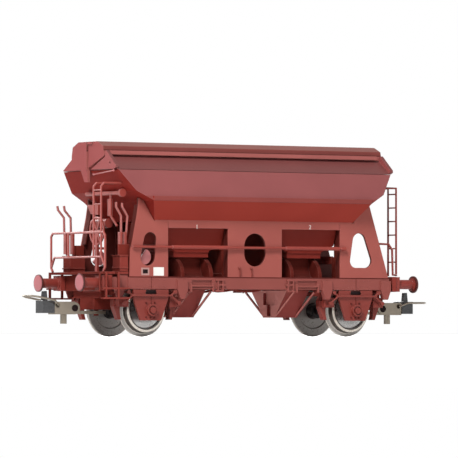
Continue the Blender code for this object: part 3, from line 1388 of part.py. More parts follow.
def build_roof_gear():
    """Cross shaft under the roof end, with its crank plate, tank and upright cylinder"""
    shaft = (-SHAFT_X, 0, SHAFT_Z)
    shapes = [
        disc(shaft, "Y", -SHAFT_NEAR_Y, SHAFT_FAR_Y, SHAFT_RADIUS, SMALL_STEPS),
        disc(shaft, "Y", -SHAFT_NEAR_Y - THIN, -SHAFT_NEAR_Y + THIN, SHAFT_DISC_RADIUS),
        prism(CRANK_OUTLINE, "X", -TANK_X - FINE, -TANK_X + FINE),
        disc((-TANK_X, 0, TANK_Z), "Y", -TANK_NEAR_Y, TANK_FAR_Y, TANK_RADIUS),
        disc((-BOTTLE_X, -BOTTLE_Y, 0), "Z", BOTTLE_FOOT, BOTTLE_TOP, BOTTLE_RADIUS, SMALL_STEPS),
        rod([(-SHAFT_X, -BOTTLE_Y, SHAFT_Z), (-BOTTLE_X, -BOTTLE_Y, BOTTLE_TOP - FINE)], LADDER_RADIUS),
        rod([(-BOTTLE_X, -BOTTLE_Y, BOTTLE_FOOT + FINE), (-BOTTLE_X, -BOTTLE_ROD_Y, BOTTLE_ROD_Z)],
            LADDER_RADIUS),
        rod([(-SHAFT_X, CRANK_Y, SHAFT_Z), (-TANK_X, CRANK_Y, CRANK_OUTLINE[1][1] - FINE),
             (-TANK_X, CRANK_Y, TANK_Z)], LADDER_RADIUS),
    ]
    for y in SHAFT_BRACKET_PLACES:
        shapes.append(block(
            (-SHAFT_X, -end_x(SHAFT_Z + FINE) - SEAM), (y - FINE, y + FINE), (SHAFT_Z - FINE, SHAFT_Z + FINE),
        ))
    piece("roof_gear", "brown", shapes)


def main():
    clear_scene()
    build_hopper()
    build_flare()
    build_roof()
    build_side_walls()
    build_pockets()
    build_frame()
    build_funnels()
    build_axle_guards()
    build_wheelsets()
    build_brake_gear()
    build_buffers()
    build_couplers()
    build_platform()
    build_end_ladder()
    build_operating_gear()


main()
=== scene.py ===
"""Looks of the swing-roof hopper wagon model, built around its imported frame. Metres."""

import json
import math

import bpy
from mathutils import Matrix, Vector


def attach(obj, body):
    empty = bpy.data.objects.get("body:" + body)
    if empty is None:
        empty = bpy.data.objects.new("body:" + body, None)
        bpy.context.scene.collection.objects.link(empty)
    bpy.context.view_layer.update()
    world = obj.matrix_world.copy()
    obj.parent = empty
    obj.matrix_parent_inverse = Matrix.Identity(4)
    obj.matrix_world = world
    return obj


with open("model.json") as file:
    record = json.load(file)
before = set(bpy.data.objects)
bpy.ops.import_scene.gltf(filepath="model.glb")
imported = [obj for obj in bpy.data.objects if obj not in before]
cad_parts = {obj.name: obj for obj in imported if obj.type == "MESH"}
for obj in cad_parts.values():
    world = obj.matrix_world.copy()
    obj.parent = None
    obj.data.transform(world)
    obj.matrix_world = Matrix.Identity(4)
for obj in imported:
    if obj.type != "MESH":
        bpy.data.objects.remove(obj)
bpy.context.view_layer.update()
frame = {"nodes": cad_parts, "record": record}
bpy.ops.object.select_all(action="DESELECT")

# Camera, from the vanishing of the wagon's long edges in the photo
VIEW_TURN = math.radians(32.3)
VIEW_PITCH = math.radians(1.218)
VIEW_DISTANCE = 1.22
VIEW_HEIGHT = 0.0010
VIEW_SIDE_STEP = 0.00014
SENSOR = 36.0
LENS_PIXELS = 4879.4
PHOTO_PIXELS = 458
VIEW_REACH = 100.0

MM = 0.001
AXLE_X = 30.1 * MM
AXLE_Z = 6.5 * MM
WALL_Y = 12.3 * MM
SOLE_TOP = 14.6 * MM
GUARD_Y = 12.2 * MM
ENDS = (("left", -1), ("right", 1))
SIDES = (("near", -1), ("far", 1))
BOTH_WAYS = (-1, 1)

# Lamps: name, place, width, power
LAMPS = (
    ("key", (-0.72, -0.62, 0.82), 0.40, 18.8),
    ("front", (0.30, -1.20, 0.30), 0.5, 2.8),
    ("back", (-0.10, 1.00, 0.80), 0.5, 15.0),
    ("right", (1.30, 0.25, 0.28), 0.5, 8.0),
)
LAMP_AIM = (0, 0, 0.025)
WORLD_LIGHT = 0.09
WORLD_GLOSS = 0.45
WHITE = (1, 1, 1, 1)

# Floor: a pale plane whose glow brings it up to the white background
FLOOR_SIZE = 6.0
FLOOR_DROP = 0.1 * MM
FLOOR_GREY = (0.85, 0.85, 0.85, 1.0)
FLOOR_ROUGHNESS = 0.9
FLOOR_GLOW = 0.72

# Sockets of a colour mix node, by place: factor, first colour, second colour, result
MIX_FACTOR = 0
MIX_FIRST = 6
MIX_SECOND = 7
MIX_RESULT = 2

# Grain, dust with a painted sheen, worn edges with painted highlights, and the plain specular level
PLAIN_SPECULAR = 0.25
BROAD_SCALE = 70.0
BROAD_DETAIL = 4.0
FINE_SCALE = 2600.0
FINE_DETAIL = 2.0
NOISE_RANGE = (0.3, 0.7)
TONE_RANGE = (0.93, 1.07)
ROUGHNESS_SPREAD = 0.04
# Upward faces greyed: dust, and a painted sheen of light from above
DUST_AND_SHEEN_FROM = 0.2
DUST_AND_SHEEN_SHARE = 0.06
DUST_AND_SHEEN_COLOUR = (0.30, 0.19, 0.17)
# Edges lighter as wear, also a painted highlight along every edge
WEAR_AND_HIGHLIGHT_TURN = (0.98, 0.80)
WEAR_AND_HIGHLIGHT_COLOUR = (0.50, 0.22, 0.19)
WEAR_AND_HIGHLIGHT_SHARE = 0.30
EDGE_RADIUS = 0.12 * MM
EDGE_SAMPLES = 4
BUMP_STRENGTH = 0.25
BUMP_DEPTH = 0.02 * MM

# Linear colours of the walls, sole bars and frame
WALL = (0.295, 0.072, 0.058)
# Painted shade on the inner faces of the side walls
WALL_INSIDE_SHADE = (0.075, 0.012, 0.009)
SOLE = (0.230, 0.058, 0.048)
FRAME = (0.14, 0.020, 0.014)
# Axle guards and the pieces that share their finish: darker than the sole bar as painted shade
GUARD_SHADE = (0.19, 0.030, 0.022)
# Pockets and chutes deep in the bays: darker as painted shade
POCKET_SHADE = (0.17, 0.018, 0.012)
CHUTE_SHADE = (0.10, 0.014, 0.010)
BROWN = (0.25, 0.040, 0.030)
# Faces that look to the wagon's ends: paler as painted light
BROWN_END_LIGHT = (0.34, 0.105, 0.095)
FUNNEL = (0.235, 0.044, 0.037)
# Funnel faces that look to the ends: paler as painted light
FUNNEL_END_LIGHT = (0.60, 0.22, 0.19)
# Headstocks, control boxes and platform floors: dark as painted shade, darker still on end faces
HEADSTOCK_SIDE = (0.20, 0.034, 0.026)
HEADSTOCK_END_SHADE = (0.12, 0.018, 0.013)

# Linear colours of the tub and roof, from the lowest band up; the bands paint light and shade by height
TUB_LOW = (0.295, 0.040, 0.028)
TUB_RIB = (0.21, 0.048, 0.042)
# Upper tub band: paler as a painted sheen
TUB_HIGH_SHEEN = (0.232, 0.069, 0.068)
# Tub slopes that look to the ends: darker as painted shade
TUB_END_SHADE = (0.235, 0.022, 0.016)
# Flare under the gutter: darker as painted shade
TUB_FLARE_SHADE = (0.155, 0.041, 0.039)
# Gutter lip: lighter as a painted highlight
GUTTER_HIGHLIGHT = (0.31, 0.090, 0.080)
GUTTER_SHADE = (0.07, 0.014, 0.012)
ROOF_SLOPE = (0.175, 0.042, 0.036)
# Roof crest: paler as a painted sheen
ROOF_CREST_SHEEN = (0.19, 0.070, 0.060)
# Roof and flare faces that look to the ends: paler as painted light
ROOF_END_LIGHT = (0.275, 0.066, 0.064)

# Linear colours of the buffers, wheels, couplers and marks
BUFFER_STEM = (0.20, 0.030, 0.022)
# Back of the buffer heads dark as painted shade, their faces pale as painted sheen
BUFFER_BACK_SHADE = (0.055, 0.009, 0.007)
BUFFER_FACE_SHEEN = (0.41, 0.14, 0.15)
# Painted shadow in the groove round the rim
WHEEL_GROOVE_SHADOW = (0.07, 0.06, 0.055)
WHEEL_RIM = (0.66, 0.61, 0.54)
WHEEL_WEB = (0.42, 0.41, 0.40)
WHEEL_TREAD = (0.60, 0.56, 0.50)
# Painted shade on the rolling face seen from outside
WHEEL_ROLLING_SHADE = (0.11, 0.09, 0.08)
WHEEL_DISC = (0.34, 0.32, 0.30)
WHEEL_HUB = (0.035, 0.03, 0.03)
SHANK_METAL = (0.25, 0.215, 0.17)
HOOK_BLACK = (0.018, 0.018, 0.02)
PLATE_WHITE = (0.75, 0.72, 0.68)
PLATE_FRAME = (0.40, 0.22, 0.20)
LEVER_PINK = (0.40, 0.13, 0.13)
SLOT_BLACK = (0.012, 0.006, 0.006)
SEAM = (0.09, 0.014, 0.011)

# Where a tone changes: distance along an axis from the middle or the rail, colour beyond it
# Tub bands by height paint a paler sheen on the upper band
TUB_BANDS = ((33.2 * MM, TUB_RIB), (34.4 * MM, TUB_HIGH_SHEEN))
# Roof bands paint the gutter's highlight, the shade above it and the crest's sheen
ROOF_BANDS = ((45.55 * MM, GUTTER_SHADE), (45.80 * MM, ROOF_SLOPE), (46.75 * MM, ROOF_CREST_SHEEN))
# Buffer bands paint shade on the head backs and sheen on the faces
BUFFER_BANDS = ((48.7 * MM, BUFFER_BACK_SHADE), (49.25 * MM, BUFFER_FACE_SHEEN))
# Wall faces nearer the middle than this are dark with painted shade
WALL_BANDS = ((WALL_Y - 0.3 * MM, WALL),)
BAND_BLUR = 0.05 * MM
WALL_BLUR = 0.2 * MM
# How far a face turns to the wagon's ends before it takes the painted end light or shade
END_LIGHT_TURN = (0.2, 0.35)

# Where a wheel's tone changes, in millimetres from the axle line or from the wagon's middle
HUB_EDGE = (1.95, 2.1)
RIM_EDGE = (4.45, 4.55)
GROOVE_EDGE = (4.75, 4.85)
TREAD_EDGE = (5.35, 5.45)
FLANGE_EDGE = (6.3, 6.4)
OUTER_SIDE = (8.0, 8.1)
FACE_SIDE = (8.1, 8.2)

# How smooth the wheels are, and how much of metal their inner discs and outer faces have
WHEEL_ROUGHNESS = 0.30
DISC_METALLIC = 0.4
FACE_METALLIC = 0.85


def add(tree, kind, **values):
    """A new node with some of its own settings"""
    made = tree.nodes.new(kind)
    for key, value in values.items():
        setattr(made, key, value)
    return made


def socket(group, name, way, kind, value=None):
    """A named socket of a node group"""
    made = group.interface.new_socket(name, in_out=way, socket_type=kind)
    if value is not None:
        made.default_value = value
    return made


def ranged(tree, source, low, high, to_low, to_high):
    """A value carried from one range to another"""
    made = add(tree, "ShaderNodeMapRange")
    made.inputs["From Min"].default_value = low
    made.inputs["From Max"].default_value = high
    made.inputs["To Min"].default_value = to_low
    made.inputs["To Max"].default_value = to_high
    tree.links.new(source, made.inputs["Value"])
    return made.outputs["Result"]


def blended(tree, factor, low, high, mode="MIX"):
    """Two colours mixed by a factor; each is a colour or a socket"""
    made = add(tree, "ShaderNodeMix", data_type="RGBA", blend_type=mode)
    for index, value in ((MIX_FACTOR, factor), (MIX_FIRST, low), (MIX_SECOND, high)):
        if isinstance(value, bpy.types.NodeSocket):
            tree.links.new(value, made.inputs[index])
        elif isinstance(value, float):
            made.inputs[index].default_value = value
        else:
            made.inputs[index].default_value = (*value, 1.0)
    return made.outputs[MIX_RESULT]


def distance_along(tree, vector, axis):
    """How far a vector goes along one axis, whichever way"""
    split = add(tree, "ShaderNodeSeparateXYZ")
    tree.links.new(vector, split.inputs["Vector"])
    made = add(tree, "ShaderNodeMath", operation="ABSOLUTE")
    tree.links.new(split.outputs[axis], made.inputs[0])
    return made.outputs["Value"]


def grain_group():
    """Fine grain, broad tone, rounded edges lighter as wear and painted highlight, and a little dust
    with painted sheen on upward faces
    """
    group = bpy.data.node_groups.new("paint_grain", "ShaderNodeTree")
    socket(group, "Colour", "INPUT", "NodeSocketColor")
    socket(group, "Roughness", "INPUT", "NodeSocketFloat", 0.5)
    socket(group, "Edge wear and highlight", "INPUT", "NodeSocketFloat", 0.0)
    socket(group, "Colour", "OUTPUT", "NodeSocketColor")
    socket(group, "Roughness", "OUTPUT", "NodeSocketFloat")
    socket(group, "Normal", "OUTPUT", "NodeSocketVector")
    enter = add(group, "NodeGroupInput")
    leave = add(group, "NodeGroupOutput")
    place = add(group, "ShaderNodeTexCoord").outputs["Object"]
    broad = add(group, "ShaderNodeTexNoise")
    broad.inputs["Scale"].default_value = BROAD_SCALE
    broad.inputs["Detail"].default_value = BROAD_DETAIL
    fine = add(group, "ShaderNodeTexNoise")
    fine.inputs["Scale"].default_value = FINE_SCALE
    fine.inputs["Detail"].default_value = FINE_DETAIL
    group.links.new(place, broad.inputs["Vector"])
    group.links.new(place, fine.inputs["Vector"])
    tone = ranged(group, broad.outputs["Fac"], *NOISE_RANGE, *TONE_RANGE)
    shaded = blended(group, 1.0, enter.outputs["Colour"], tone, "MULTIPLY")
    geometry = add(group, "ShaderNodeNewGeometry")
    split = add(group, "ShaderNodeSeparateXYZ")
    group.links.new(geometry.outputs["Normal"], split.inputs["Vector"])
    # Greyer on upward faces: dust and painted sheen
    dust_and_sheen = ranged(group, split.outputs["Z"], DUST_AND_SHEEN_FROM, 1.0, 0.0, DUST_AND_SHEEN_SHARE)
    dusted_and_sheened = blended(group, dust_and_sheen, shaded, DUST_AND_SHEEN_COLOUR)
    rounded = add(group, "ShaderNodeBevel", samples=EDGE_SAMPLES)
    rounded.inputs["Radius"].default_value = EDGE_RADIUS
    turn = add(group, "ShaderNodeVectorMath", operation="DOT_PRODUCT")
    group.links.new(rounded.outputs["Normal"], turn.inputs[0])
    group.links.new(geometry.outputs["Normal"], turn.inputs[1])
    # Edges lighter by the bevel's turn: wear and painted highlight
    worn_and_lit = ranged(group, turn.outputs["Value"], *WEAR_AND_HIGHLIGHT_TURN, 0.0, 1.0)
    wear_and_highlight = add(group, "ShaderNodeMath", operation="MULTIPLY")
    group.links.new(worn_and_lit, wear_and_highlight.inputs[0])
    group.links.new(enter.outputs["Edge wear and highlight"], wear_and_highlight.inputs[1])
    edged = blended(group, wear_and_highlight.outputs["Value"], dusted_and_sheened, WEAR_AND_HIGHLIGHT_COLOUR)
    spread = ranged(group, fine.outputs["Fac"], *NOISE_RANGE, -ROUGHNESS_SPREAD, ROUGHNESS_SPREAD)
    rough = add(group, "ShaderNodeMath", operation="ADD")
    group.links.new(enter.outputs["Roughness"], rough.inputs[0])
    group.links.new(spread, rough.inputs[1])
    bump = add(group, "ShaderNodeBump")
    bump.inputs["Strength"].default_value = BUMP_STRENGTH
    bump.inputs["Distance"].default_value = BUMP_DEPTH
    group.links.new(fine.outputs["Fac"], bump.inputs["Height"])
    group.links.new(rounded.outputs["Normal"], bump.inputs["Normal"])
    group.links.new(edged, leave.inputs["Colour"])
    group.links.new(rough.outputs["Value"], leave.inputs["Roughness"])
    group.links.new(bump.outputs["Normal"], leave.inputs["Normal"])
    return group


def radius_group():
    """Distance from the nearer axle's centre line, and from the wagon's middle, in millimetres"""
    group = bpy.data.node_groups.new("axle_radius", "ShaderNodeTree")
    socket(group, "Radius", "OUTPUT", "NodeSocketFloat")
    socket(group, "Side", "OUTPUT", "NodeSocketFloat")
    leave = add(group, "NodeGroupOutput")
    place = add(group, "ShaderNodeTexCoord").outputs["Object"]
    folded = add(group, "ShaderNodeVectorMath", operation="ABSOLUTE")
    group.links.new(place, folded.inputs[0])
    moved = add(group, "ShaderNodeVectorMath", operation="SUBTRACT")
    moved.inputs[1].default_value = (AXLE_X, 0, AXLE_Z)
    group.links.new(folded.outputs["Vector"], moved.inputs[0])
    flat = add(group, "ShaderNodeVectorMath", operation="MULTIPLY")
    flat.inputs[1].default_value = (1 / MM, 0, 1 / MM)
    group.links.new(moved.outputs["Vector"], flat.inputs[0])
    size = add(group, "ShaderNodeVectorMath", operation="LENGTH")
    group.links.new(flat.outputs["Vector"], size.inputs[0])
    group.links.new(size.outputs["Value"], leave.inputs["Radius"])
    parts = add(group, "ShaderNodeSeparateXYZ")
    group.links.new(folded.outputs["Vector"], parts.inputs["Vector"])
    side = add(group, "ShaderNodeMath", operation="MULTIPLY")
    side.inputs[1].default_value = 1 / MM
    group.links.new(parts.outputs["Y"], side.inputs[0])
    group.links.new(side.outputs["Value"], leave.inputs["Side"])
    return group


GRAIN = grain_group()
AXLE_RADIUS = radius_group()


def material(name, colour, roughness, metallic, wear_and_highlight, specular):
    """A grained material; the colour can be a function that puts a socket in the tree"""
    made = bpy.data.materials.new(name)
    made.use_nodes = True
    tree = made.node_tree
    shader = tree.nodes["Principled BSDF"]
    shader.inputs["Metallic"].default_value = metallic
    shader.inputs["Specular IOR Level"].default_value = specular
    grain = add(tree, "ShaderNodeGroup", node_tree=GRAIN)
    grain.inputs["Roughness"].default_value = roughness
    grain.inputs["Edge wear and highlight"].default_value = wear_and_highlight
    if callable(colour):
        tree.links.new(colour(tree), grain.inputs["Colour"])
    else:
        grain.inputs["Colour"].default_value = (*colour, 1.0)
    for output in ("Roughness", "Normal"):
        tree.links.new(grain.outputs[output], shader.inputs[output])
    tree.links.new(grain.outputs["Colour"], shader.inputs["Base Color"])
    return made


def banded(foot, bands, axis="Z", blur=BAND_BLUR):
    """A colour function: the tone changes at each distance of a table, measured along one axis"""
    def colour(tree):
        reach = distance_along(tree, add(tree, "ShaderNodeTexCoord").outputs["Object"], axis)
        tone = foot
        for edge, beyond in bands:
            past = ranged(tree, reach, edge - blur, edge + blur, 0.0, 1.0)
            tone = blended(tree, past, tone, beyond)
        return tone
    return colour


def light_by_facing(sides, ends):
    """A colour function: one tone on the long sides, another on what faces the wagon's ends; the end
    tone is painted light or painted shade, as each finish gives it
    """
    def colour(tree):
        turned = distance_along(tree, add(tree, "ShaderNodeNewGeometry").outputs["Normal"], "X")
        first = sides(tree) if callable(sides) else sides
        return blended(tree, ranged(tree, turned, *END_LIGHT_TURN, 0.0, 1.0), first, ends)
    return colour


def wheel_colour(tree):
    """Turned rim and web outside, with painted shadow in the groove and painted shade on the outer
    rolling face; plain grey disc inside, dark hub
    """
    places = add(tree, "ShaderNodeGroup", node_tree=AXLE_RADIUS)

    def past(output, edge):
        """Mask that turns on across an edge of the wheel"""
        return ranged(tree, places.outputs[output], *edge, 0.0, 1.0)

    ring = blended(tree, past("Radius", GROOVE_EDGE), WHEEL_GROOVE_SHADOW, WHEEL_RIM)
    web = blended(tree, past("Radius", RIM_EDGE), WHEEL_WEB, ring)
    rolling = blended(tree, past("Side", FACE_SIDE), WHEEL_TREAD, WHEEL_ROLLING_SHADE)
    turned = blended(tree, past("Radius", TREAD_EDGE), web, rolling)
    inside = blended(tree, past("Radius", FLANGE_EDGE), WHEEL_DISC, WHEEL_TREAD)
    sided = blended(tree, past("Side", OUTER_SIDE), inside, turned)
    return blended(tree, past("Radius", HUB_EDGE), WHEEL_HUB, sided)


def wheel_metal():
    """Turned metal outside, dull metal inside"""
    made = material("wheel_metal", wheel_colour, WHEEL_ROUGHNESS, 0.0, 0.0, PLAIN_SPECULAR)
    tree = made.node_tree
    side = add(tree, "ShaderNodeGroup", node_tree=AXLE_RADIUS).outputs["Side"]
    metallic = ranged(tree, side, *OUTER_SIDE, DISC_METALLIC, FACE_METALLIC)
    tree.links.new(metallic, tree.nodes["Principled BSDF"].inputs["Metallic"])
    return made


# Finishes: name, colour, roughness, metallic, edge wear and painted highlight, specular
FINISH_ROWS = (
    ("brown_paint_lit_ends", light_by_facing(BROWN, BROWN_END_LIGHT), 0.42, 0.0, WEAR_AND_HIGHLIGHT_SHARE, PLAIN_SPECULAR),
    ("funnel_paint_lit_ends", light_by_facing(FUNNEL, FUNNEL_END_LIGHT), 0.5, 0.0, WEAR_AND_HIGHLIGHT_SHARE, 0.1),
    ("tub_paint_painted_light", light_by_facing(banded(TUB_LOW, TUB_BANDS), TUB_END_SHADE), 0.55, 0.0, WEAR_AND_HIGHLIGHT_SHARE, 0.04),
    ("flare_paint_painted_light", light_by_facing(TUB_FLARE_SHADE, ROOF_END_LIGHT), 0.40, 0.0, WEAR_AND_HIGHLIGHT_SHARE, PLAIN_SPECULAR),
    ("roof_paint_painted_light", light_by_facing(banded(GUTTER_HIGHLIGHT, ROOF_BANDS), ROOF_END_LIGHT), 0.55, 0.0, WEAR_AND_HIGHLIGHT_SHARE, 0.12),
    ("buffer_paint_painted_light", banded(BUFFER_STEM, BUFFER_BANDS, "X"), 0.40, 0.0, WEAR_AND_HIGHLIGHT_SHARE, PLAIN_SPECULAR),
    ("wall_paint_inside_shade", banded(WALL_INSIDE_SHADE, WALL_BANDS, "Y", WALL_BLUR), 0.50, 0.0, WEAR_AND_HIGHLIGHT_SHARE, 0.18),
    ("sole_paint", SOLE, 0.45, 0.0, WEAR_AND_HIGHLIGHT_SHARE, 0.15),
    ("frame_paint", FRAME, 0.65, 0.0, WEAR_AND_HIGHLIGHT_SHARE, 0.04),
    ("guard_paint_shaded", GUARD_SHADE, 0.45, 0.0, WEAR_AND_HIGHLIGHT_SHARE, PLAIN_SPECULAR),
    ("end_paint_shaded", light_by_facing(HEADSTOCK_SIDE, HEADSTOCK_END_SHADE), 0.6, 0.0, WEAR_AND_HIGHLIGHT_SHARE, 0.04),
    ("pocket_paint_shaded", POCKET_SHADE, 0.5, 0.0, 0.0, 0.1),
    ("chute_paint_shaded", CHUTE_SHADE, 0.60, 0.0, WEAR_AND_HIGHLIGHT_SHARE, 0.03),
    ("coupler_metal", SHANK_METAL, 0.34, 0.7, 0.0, PLAIN_SPECULAR),
    ("coupler_black", HOOK_BLACK, 0.20, 0.0, 0.0, 0.9),
    ("mark_white", PLATE_WHITE, 0.5, 0.0, 0.0, PLAIN_SPECULAR),
    ("mark_frame", PLATE_FRAME, 0.5, 0.0, 0.0, PLAIN_SPECULAR),
    ("plate_paint", LEVER_PINK, 0.4, 0.0, WEAR_AND_HIGHLIGHT_SHARE, PLAIN_SPECULAR),
    ("mark_black", SLOT_BLACK, 0.7, 0.0, 0.0, 0.1),
    ("seam_dark", SEAM, 0.6, 0.0, 0.0, 0.1),
)
FINISH = {name: material(name, *values) for name, *values in FINISH_ROWS}
FINISH["wheel_metal"] = wheel_metal()

# Starts of node names and the finish each takes, first match wins
NODE_FINISHES = (
    ("wheel", "wheel_metal"),
    ("axle_guard", "guard_paint_shaded"),
    ("axle_", "wheel_metal"),
    ("brake_gear", "guard_paint_shaded"),
    ("buffer", "buffer_paint_painted_light"),
    ("headstock", "end_paint_shaded"),
    ("control_box", "end_paint_shaded"),
    ("end_ladder", "guard_paint_shaded"),
    ("platform_floor", "end_paint_shaded"),
    ("coupler_mount", "frame_paint"),
    ("coupler_head", "coupler_black"),
    ("coupler", "coupler_metal"),
    ("underframe", "frame_paint"),
    ("pocket", "pocket_paint_shaded"),
    ("chute", "chute_paint_shaded"),
    ("hopper_flare", "flare_paint_painted_light"),
    ("hopper_body", "tub_paint_painted_light"),
    ("roof_half", "roof_paint_painted_light"),
    ("side_wall", "wall_paint_inside_shade"),
    ("sole_bar", "sole_paint"),
    ("funnel", "funnel_paint_lit_ends"),
    ("", "brown_paint_lit_ends"),
)


def dress_nodes():
    """Give every CAD node its finish"""
    for row in frame["record"]["subparts"]:
        item = frame["nodes"][row["node"]]
        finish = next(finish for start, finish in NODE_FINISHES if row["node"].startswith(start))
        item.data.materials.clear()
        item.data.materials.append(FINISH[finish])


# What all small pieces share
SMOOTH_ANGLE = math.radians(35)
FACING_LIMIT = 0.9
SLAB_EDGE_STEPS = 2
STUD_SIDES = 10
STUD_RIM_SHARE = 0.4
STUD_CROWN_SHARE = 0.4
PIPE_STEPS = 6
PIPE_ROUND_STEPS = 2


def hold(name, finish, body="wagon"):
    """Settle the active piece: its place goes into its mesh, and it rides on a body"""
    item = bpy.context.object
    bpy.ops.object.transform_apply(location=True, rotation=True, scale=True)
    item.name = name
    item.data.name = name
    item.data.materials.clear()
    item.data.materials.append(FINISH[finish])
    bpy.ops.object.shade_smooth_by_angle(angle=SMOOTH_ANGLE)
    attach(item, body)
    bpy.ops.object.select_all(action="DESELECT")


def dished(item, axis, way, rim, depth):
    """Inset the faces that look one way along an axis, and sink them; a depth below zero raises them"""
    bpy.ops.object.mode_set(mode="EDIT")
    bpy.ops.mesh.select_all(action="DESELECT")
    bpy.ops.object.mode_set(mode="OBJECT")
    for face in item.data.polygons:
        face.select = face.normal[axis] * way > FACING_LIMIT
    bpy.ops.object.mode_set(mode="EDIT")
    bpy.ops.mesh.inset(thickness=rim)
    step = [0, 0, 0]
    step[axis] = -way * depth
    bpy.ops.transform.translate(value=step)
    bpy.ops.object.mode_set(mode="OBJECT")


def slab(across, reach, rise, edge):
    """A block from its ranges along X, Y and Z, its edges broken by a small bevel"""
    ranges = [sorted(pair) for pair in (across, reach, rise)]
    bpy.ops.mesh.primitive_cube_add(size=1, location=[(low + high) / 2 for low, high in ranges])
    item = bpy.context.object
    item.scale = [high - low for low, high in ranges]
    bpy.ops.object.transform_apply(location=True, rotation=True, scale=True)
    bpy.ops.object.mode_set(mode="EDIT")
    bpy.ops.mesh.select_all(action="SELECT")
    bpy.ops.mesh.bevel(offset=edge, segments=SLAB_EDGE_STEPS)
    bpy.ops.object.mode_set(mode="OBJECT")
    return item


def slabs(rows, edge, sign, way):
    """Slabs from rows in millimetres, set at one end and one side of the wagon"""
    made = []
    for low_x, high_x, low_y, high_y, low_z, high_z in rows:
        across = (sign * low_x * MM, sign * high_x * MM)
        reach = (way * low_y * MM, way * high_y * MM)
        made.append(slab(across, reach, (low_z * MM, high_z * MM), edge))
    return made


def disc(place, radius, height, way, sides):
    """A round disc whose flat face looks along Y"""
    bpy.ops.mesh.primitive_cylinder_add(vertices=sides, radius=radius, depth=height, location=place,
                                        rotation=(-way * math.pi / 2, 0, 0))
    item = bpy.context.object
    bpy.ops.object.transform_apply(location=True, rotation=True, scale=True)
    return item


def stud(place, radius, height, way):
    """A domed bolt head that looks along Y"""
    item = disc(place, radius, height, way, STUD_SIDES)
    dished(item, 1, way, radius * STUD_RIM_SHARE, -height * STUD_CROWN_SHARE)
    return item


def joined(items):
    """Several pieces made one"""
    bpy.ops.object.select_all(action="DESELECT")
    for item in items:
        item.select_set(True)
    bpy.context.view_layer.objects.active = items[0]
    bpy.ops.object.join()
    return bpy.context.object


def pipe(points, radius):
    """A round pipe through points, as a mesh"""
    bpy.ops.curve.primitive_bezier_curve_add(location=(0, 0, 0))
    item = bpy.context.object
    spline = item.data.splines[0]
    spline.bezier_points.add(len(points) - 2)
    for knot, point in zip(spline.bezier_points, points):
        knot.co = point
        knot.handle_left_type = "AUTO"
        knot.handle_right_type = "AUTO"
    item.data.resolution_u = PIPE_STEPS
    item.data.bevel_depth = radius
    item.data.bevel_resolution = PIPE_ROUND_STEPS
    item.data.use_fill_caps = True
    bpy.ops.object.convert(target="MESH")
    return bpy.context.object


# Cross walls: distances of their faces from the middle, half their width, foot and head
CROSS_WALL_X = (7.15 * MM, 7.65 * MM)
CROSS_WALL_Y = 10.2 * MM
CROSS_WALL_Z = (14.5 * MM, 28.3 * MM)
CROSS_WALL_RIM = 1.2 * MM
CROSS_WALL_PRESS = 0.2 * MM
PLATE_EDGE = 0.05 * MM


def make_cross_walls():
    """Pressed cross walls that close the middle compartment towards each bay, dark with painted shade"""
    for end, sign in ENDS:
        across = [sign * x for x in CROSS_WALL_X]
        item = slab(across, (-CROSS_WALL_Y, CROSS_WALL_Y), CROSS_WALL_Z, PLATE_EDGE)
        dished(item, 0, sign, CROSS_WALL_RIM, CROSS_WALL_PRESS)
        hold(f"cross_wall_{end}", "chute_paint_shaded")


# Posts and crossbar outside each bay, in millimetres: |x|, |y| and z, low and high
BAY_POSTS = (
    (25.6, 26.1, 8.0, 10.3, 14.6, 20.0),
    (25.6, 26.1, 9.0, 10.3, 20.0, 23.6),
    (25.6, 26.1, 8.2, 10.3, 23.6, 28.3),
    (25.6, 26.1, 0.0, 8.0, 18.2, 20.2),
)


def make_bay_posts():
    """Dark posts, gussets and crossbars that carry the tub outside each bay; their dark is painted shade
    """
    for end, sign in ENDS:
        for side, way in SIDES:
            joined(slabs(BAY_POSTS, PLATE_EDGE, sign, way))
            hold(f"bay_posts_{end}_{side}", "chute_paint_shaded")


# Dark backing plates behind the left boxes, set where shade falls as painted shade; in millimetres: x,
# |y| and z, low and high
SLIT_PLATES = (
    (-38.8, -35.6, 10.7, 11.2, 13.2, 22.6),
    (-39.6, -33.0, 9.4, 9.9, 12.0, 16.0),
)


def make_slit_plates():
    """Dark backing plates between the left boxes and the walls, painted shade in the slits there"""
    for side, way in SIDES:
        joined(slabs(SLIT_PLATES, PLATE_EDGE, 1, way))
        hold(f"slit_plates_{side}", "frame_paint")


# Joint line along the foot of the side walls
FOOT_STRIP_X = (-36.4 * MM, 39.9 * MM)
FOOT_STRIP_DEPTH = 0.5 * MM
FOOT_STRIP_PROUD = 0.04 * MM
FOOT_STRIP_BELOW = 0.10 * MM
FOOT_STRIP_ABOVE = 0.16 * MM
FOOT_STRIP_EDGE = 0.02 * MM

# Rail behind the head of the side walls: half its length, outer face, middle height
HEAD_RAIL_X = 29.0 * MM
HEAD_RAIL_Y = 12.25 * MM
HEAD_RAIL_Z = 28.5 * MM
HEAD_RAIL_DEPTH = 0.3 * MM
HEAD_RAIL_HALF = 0.35 * MM
HEAD_RAIL_EDGE = 0.03 * MM


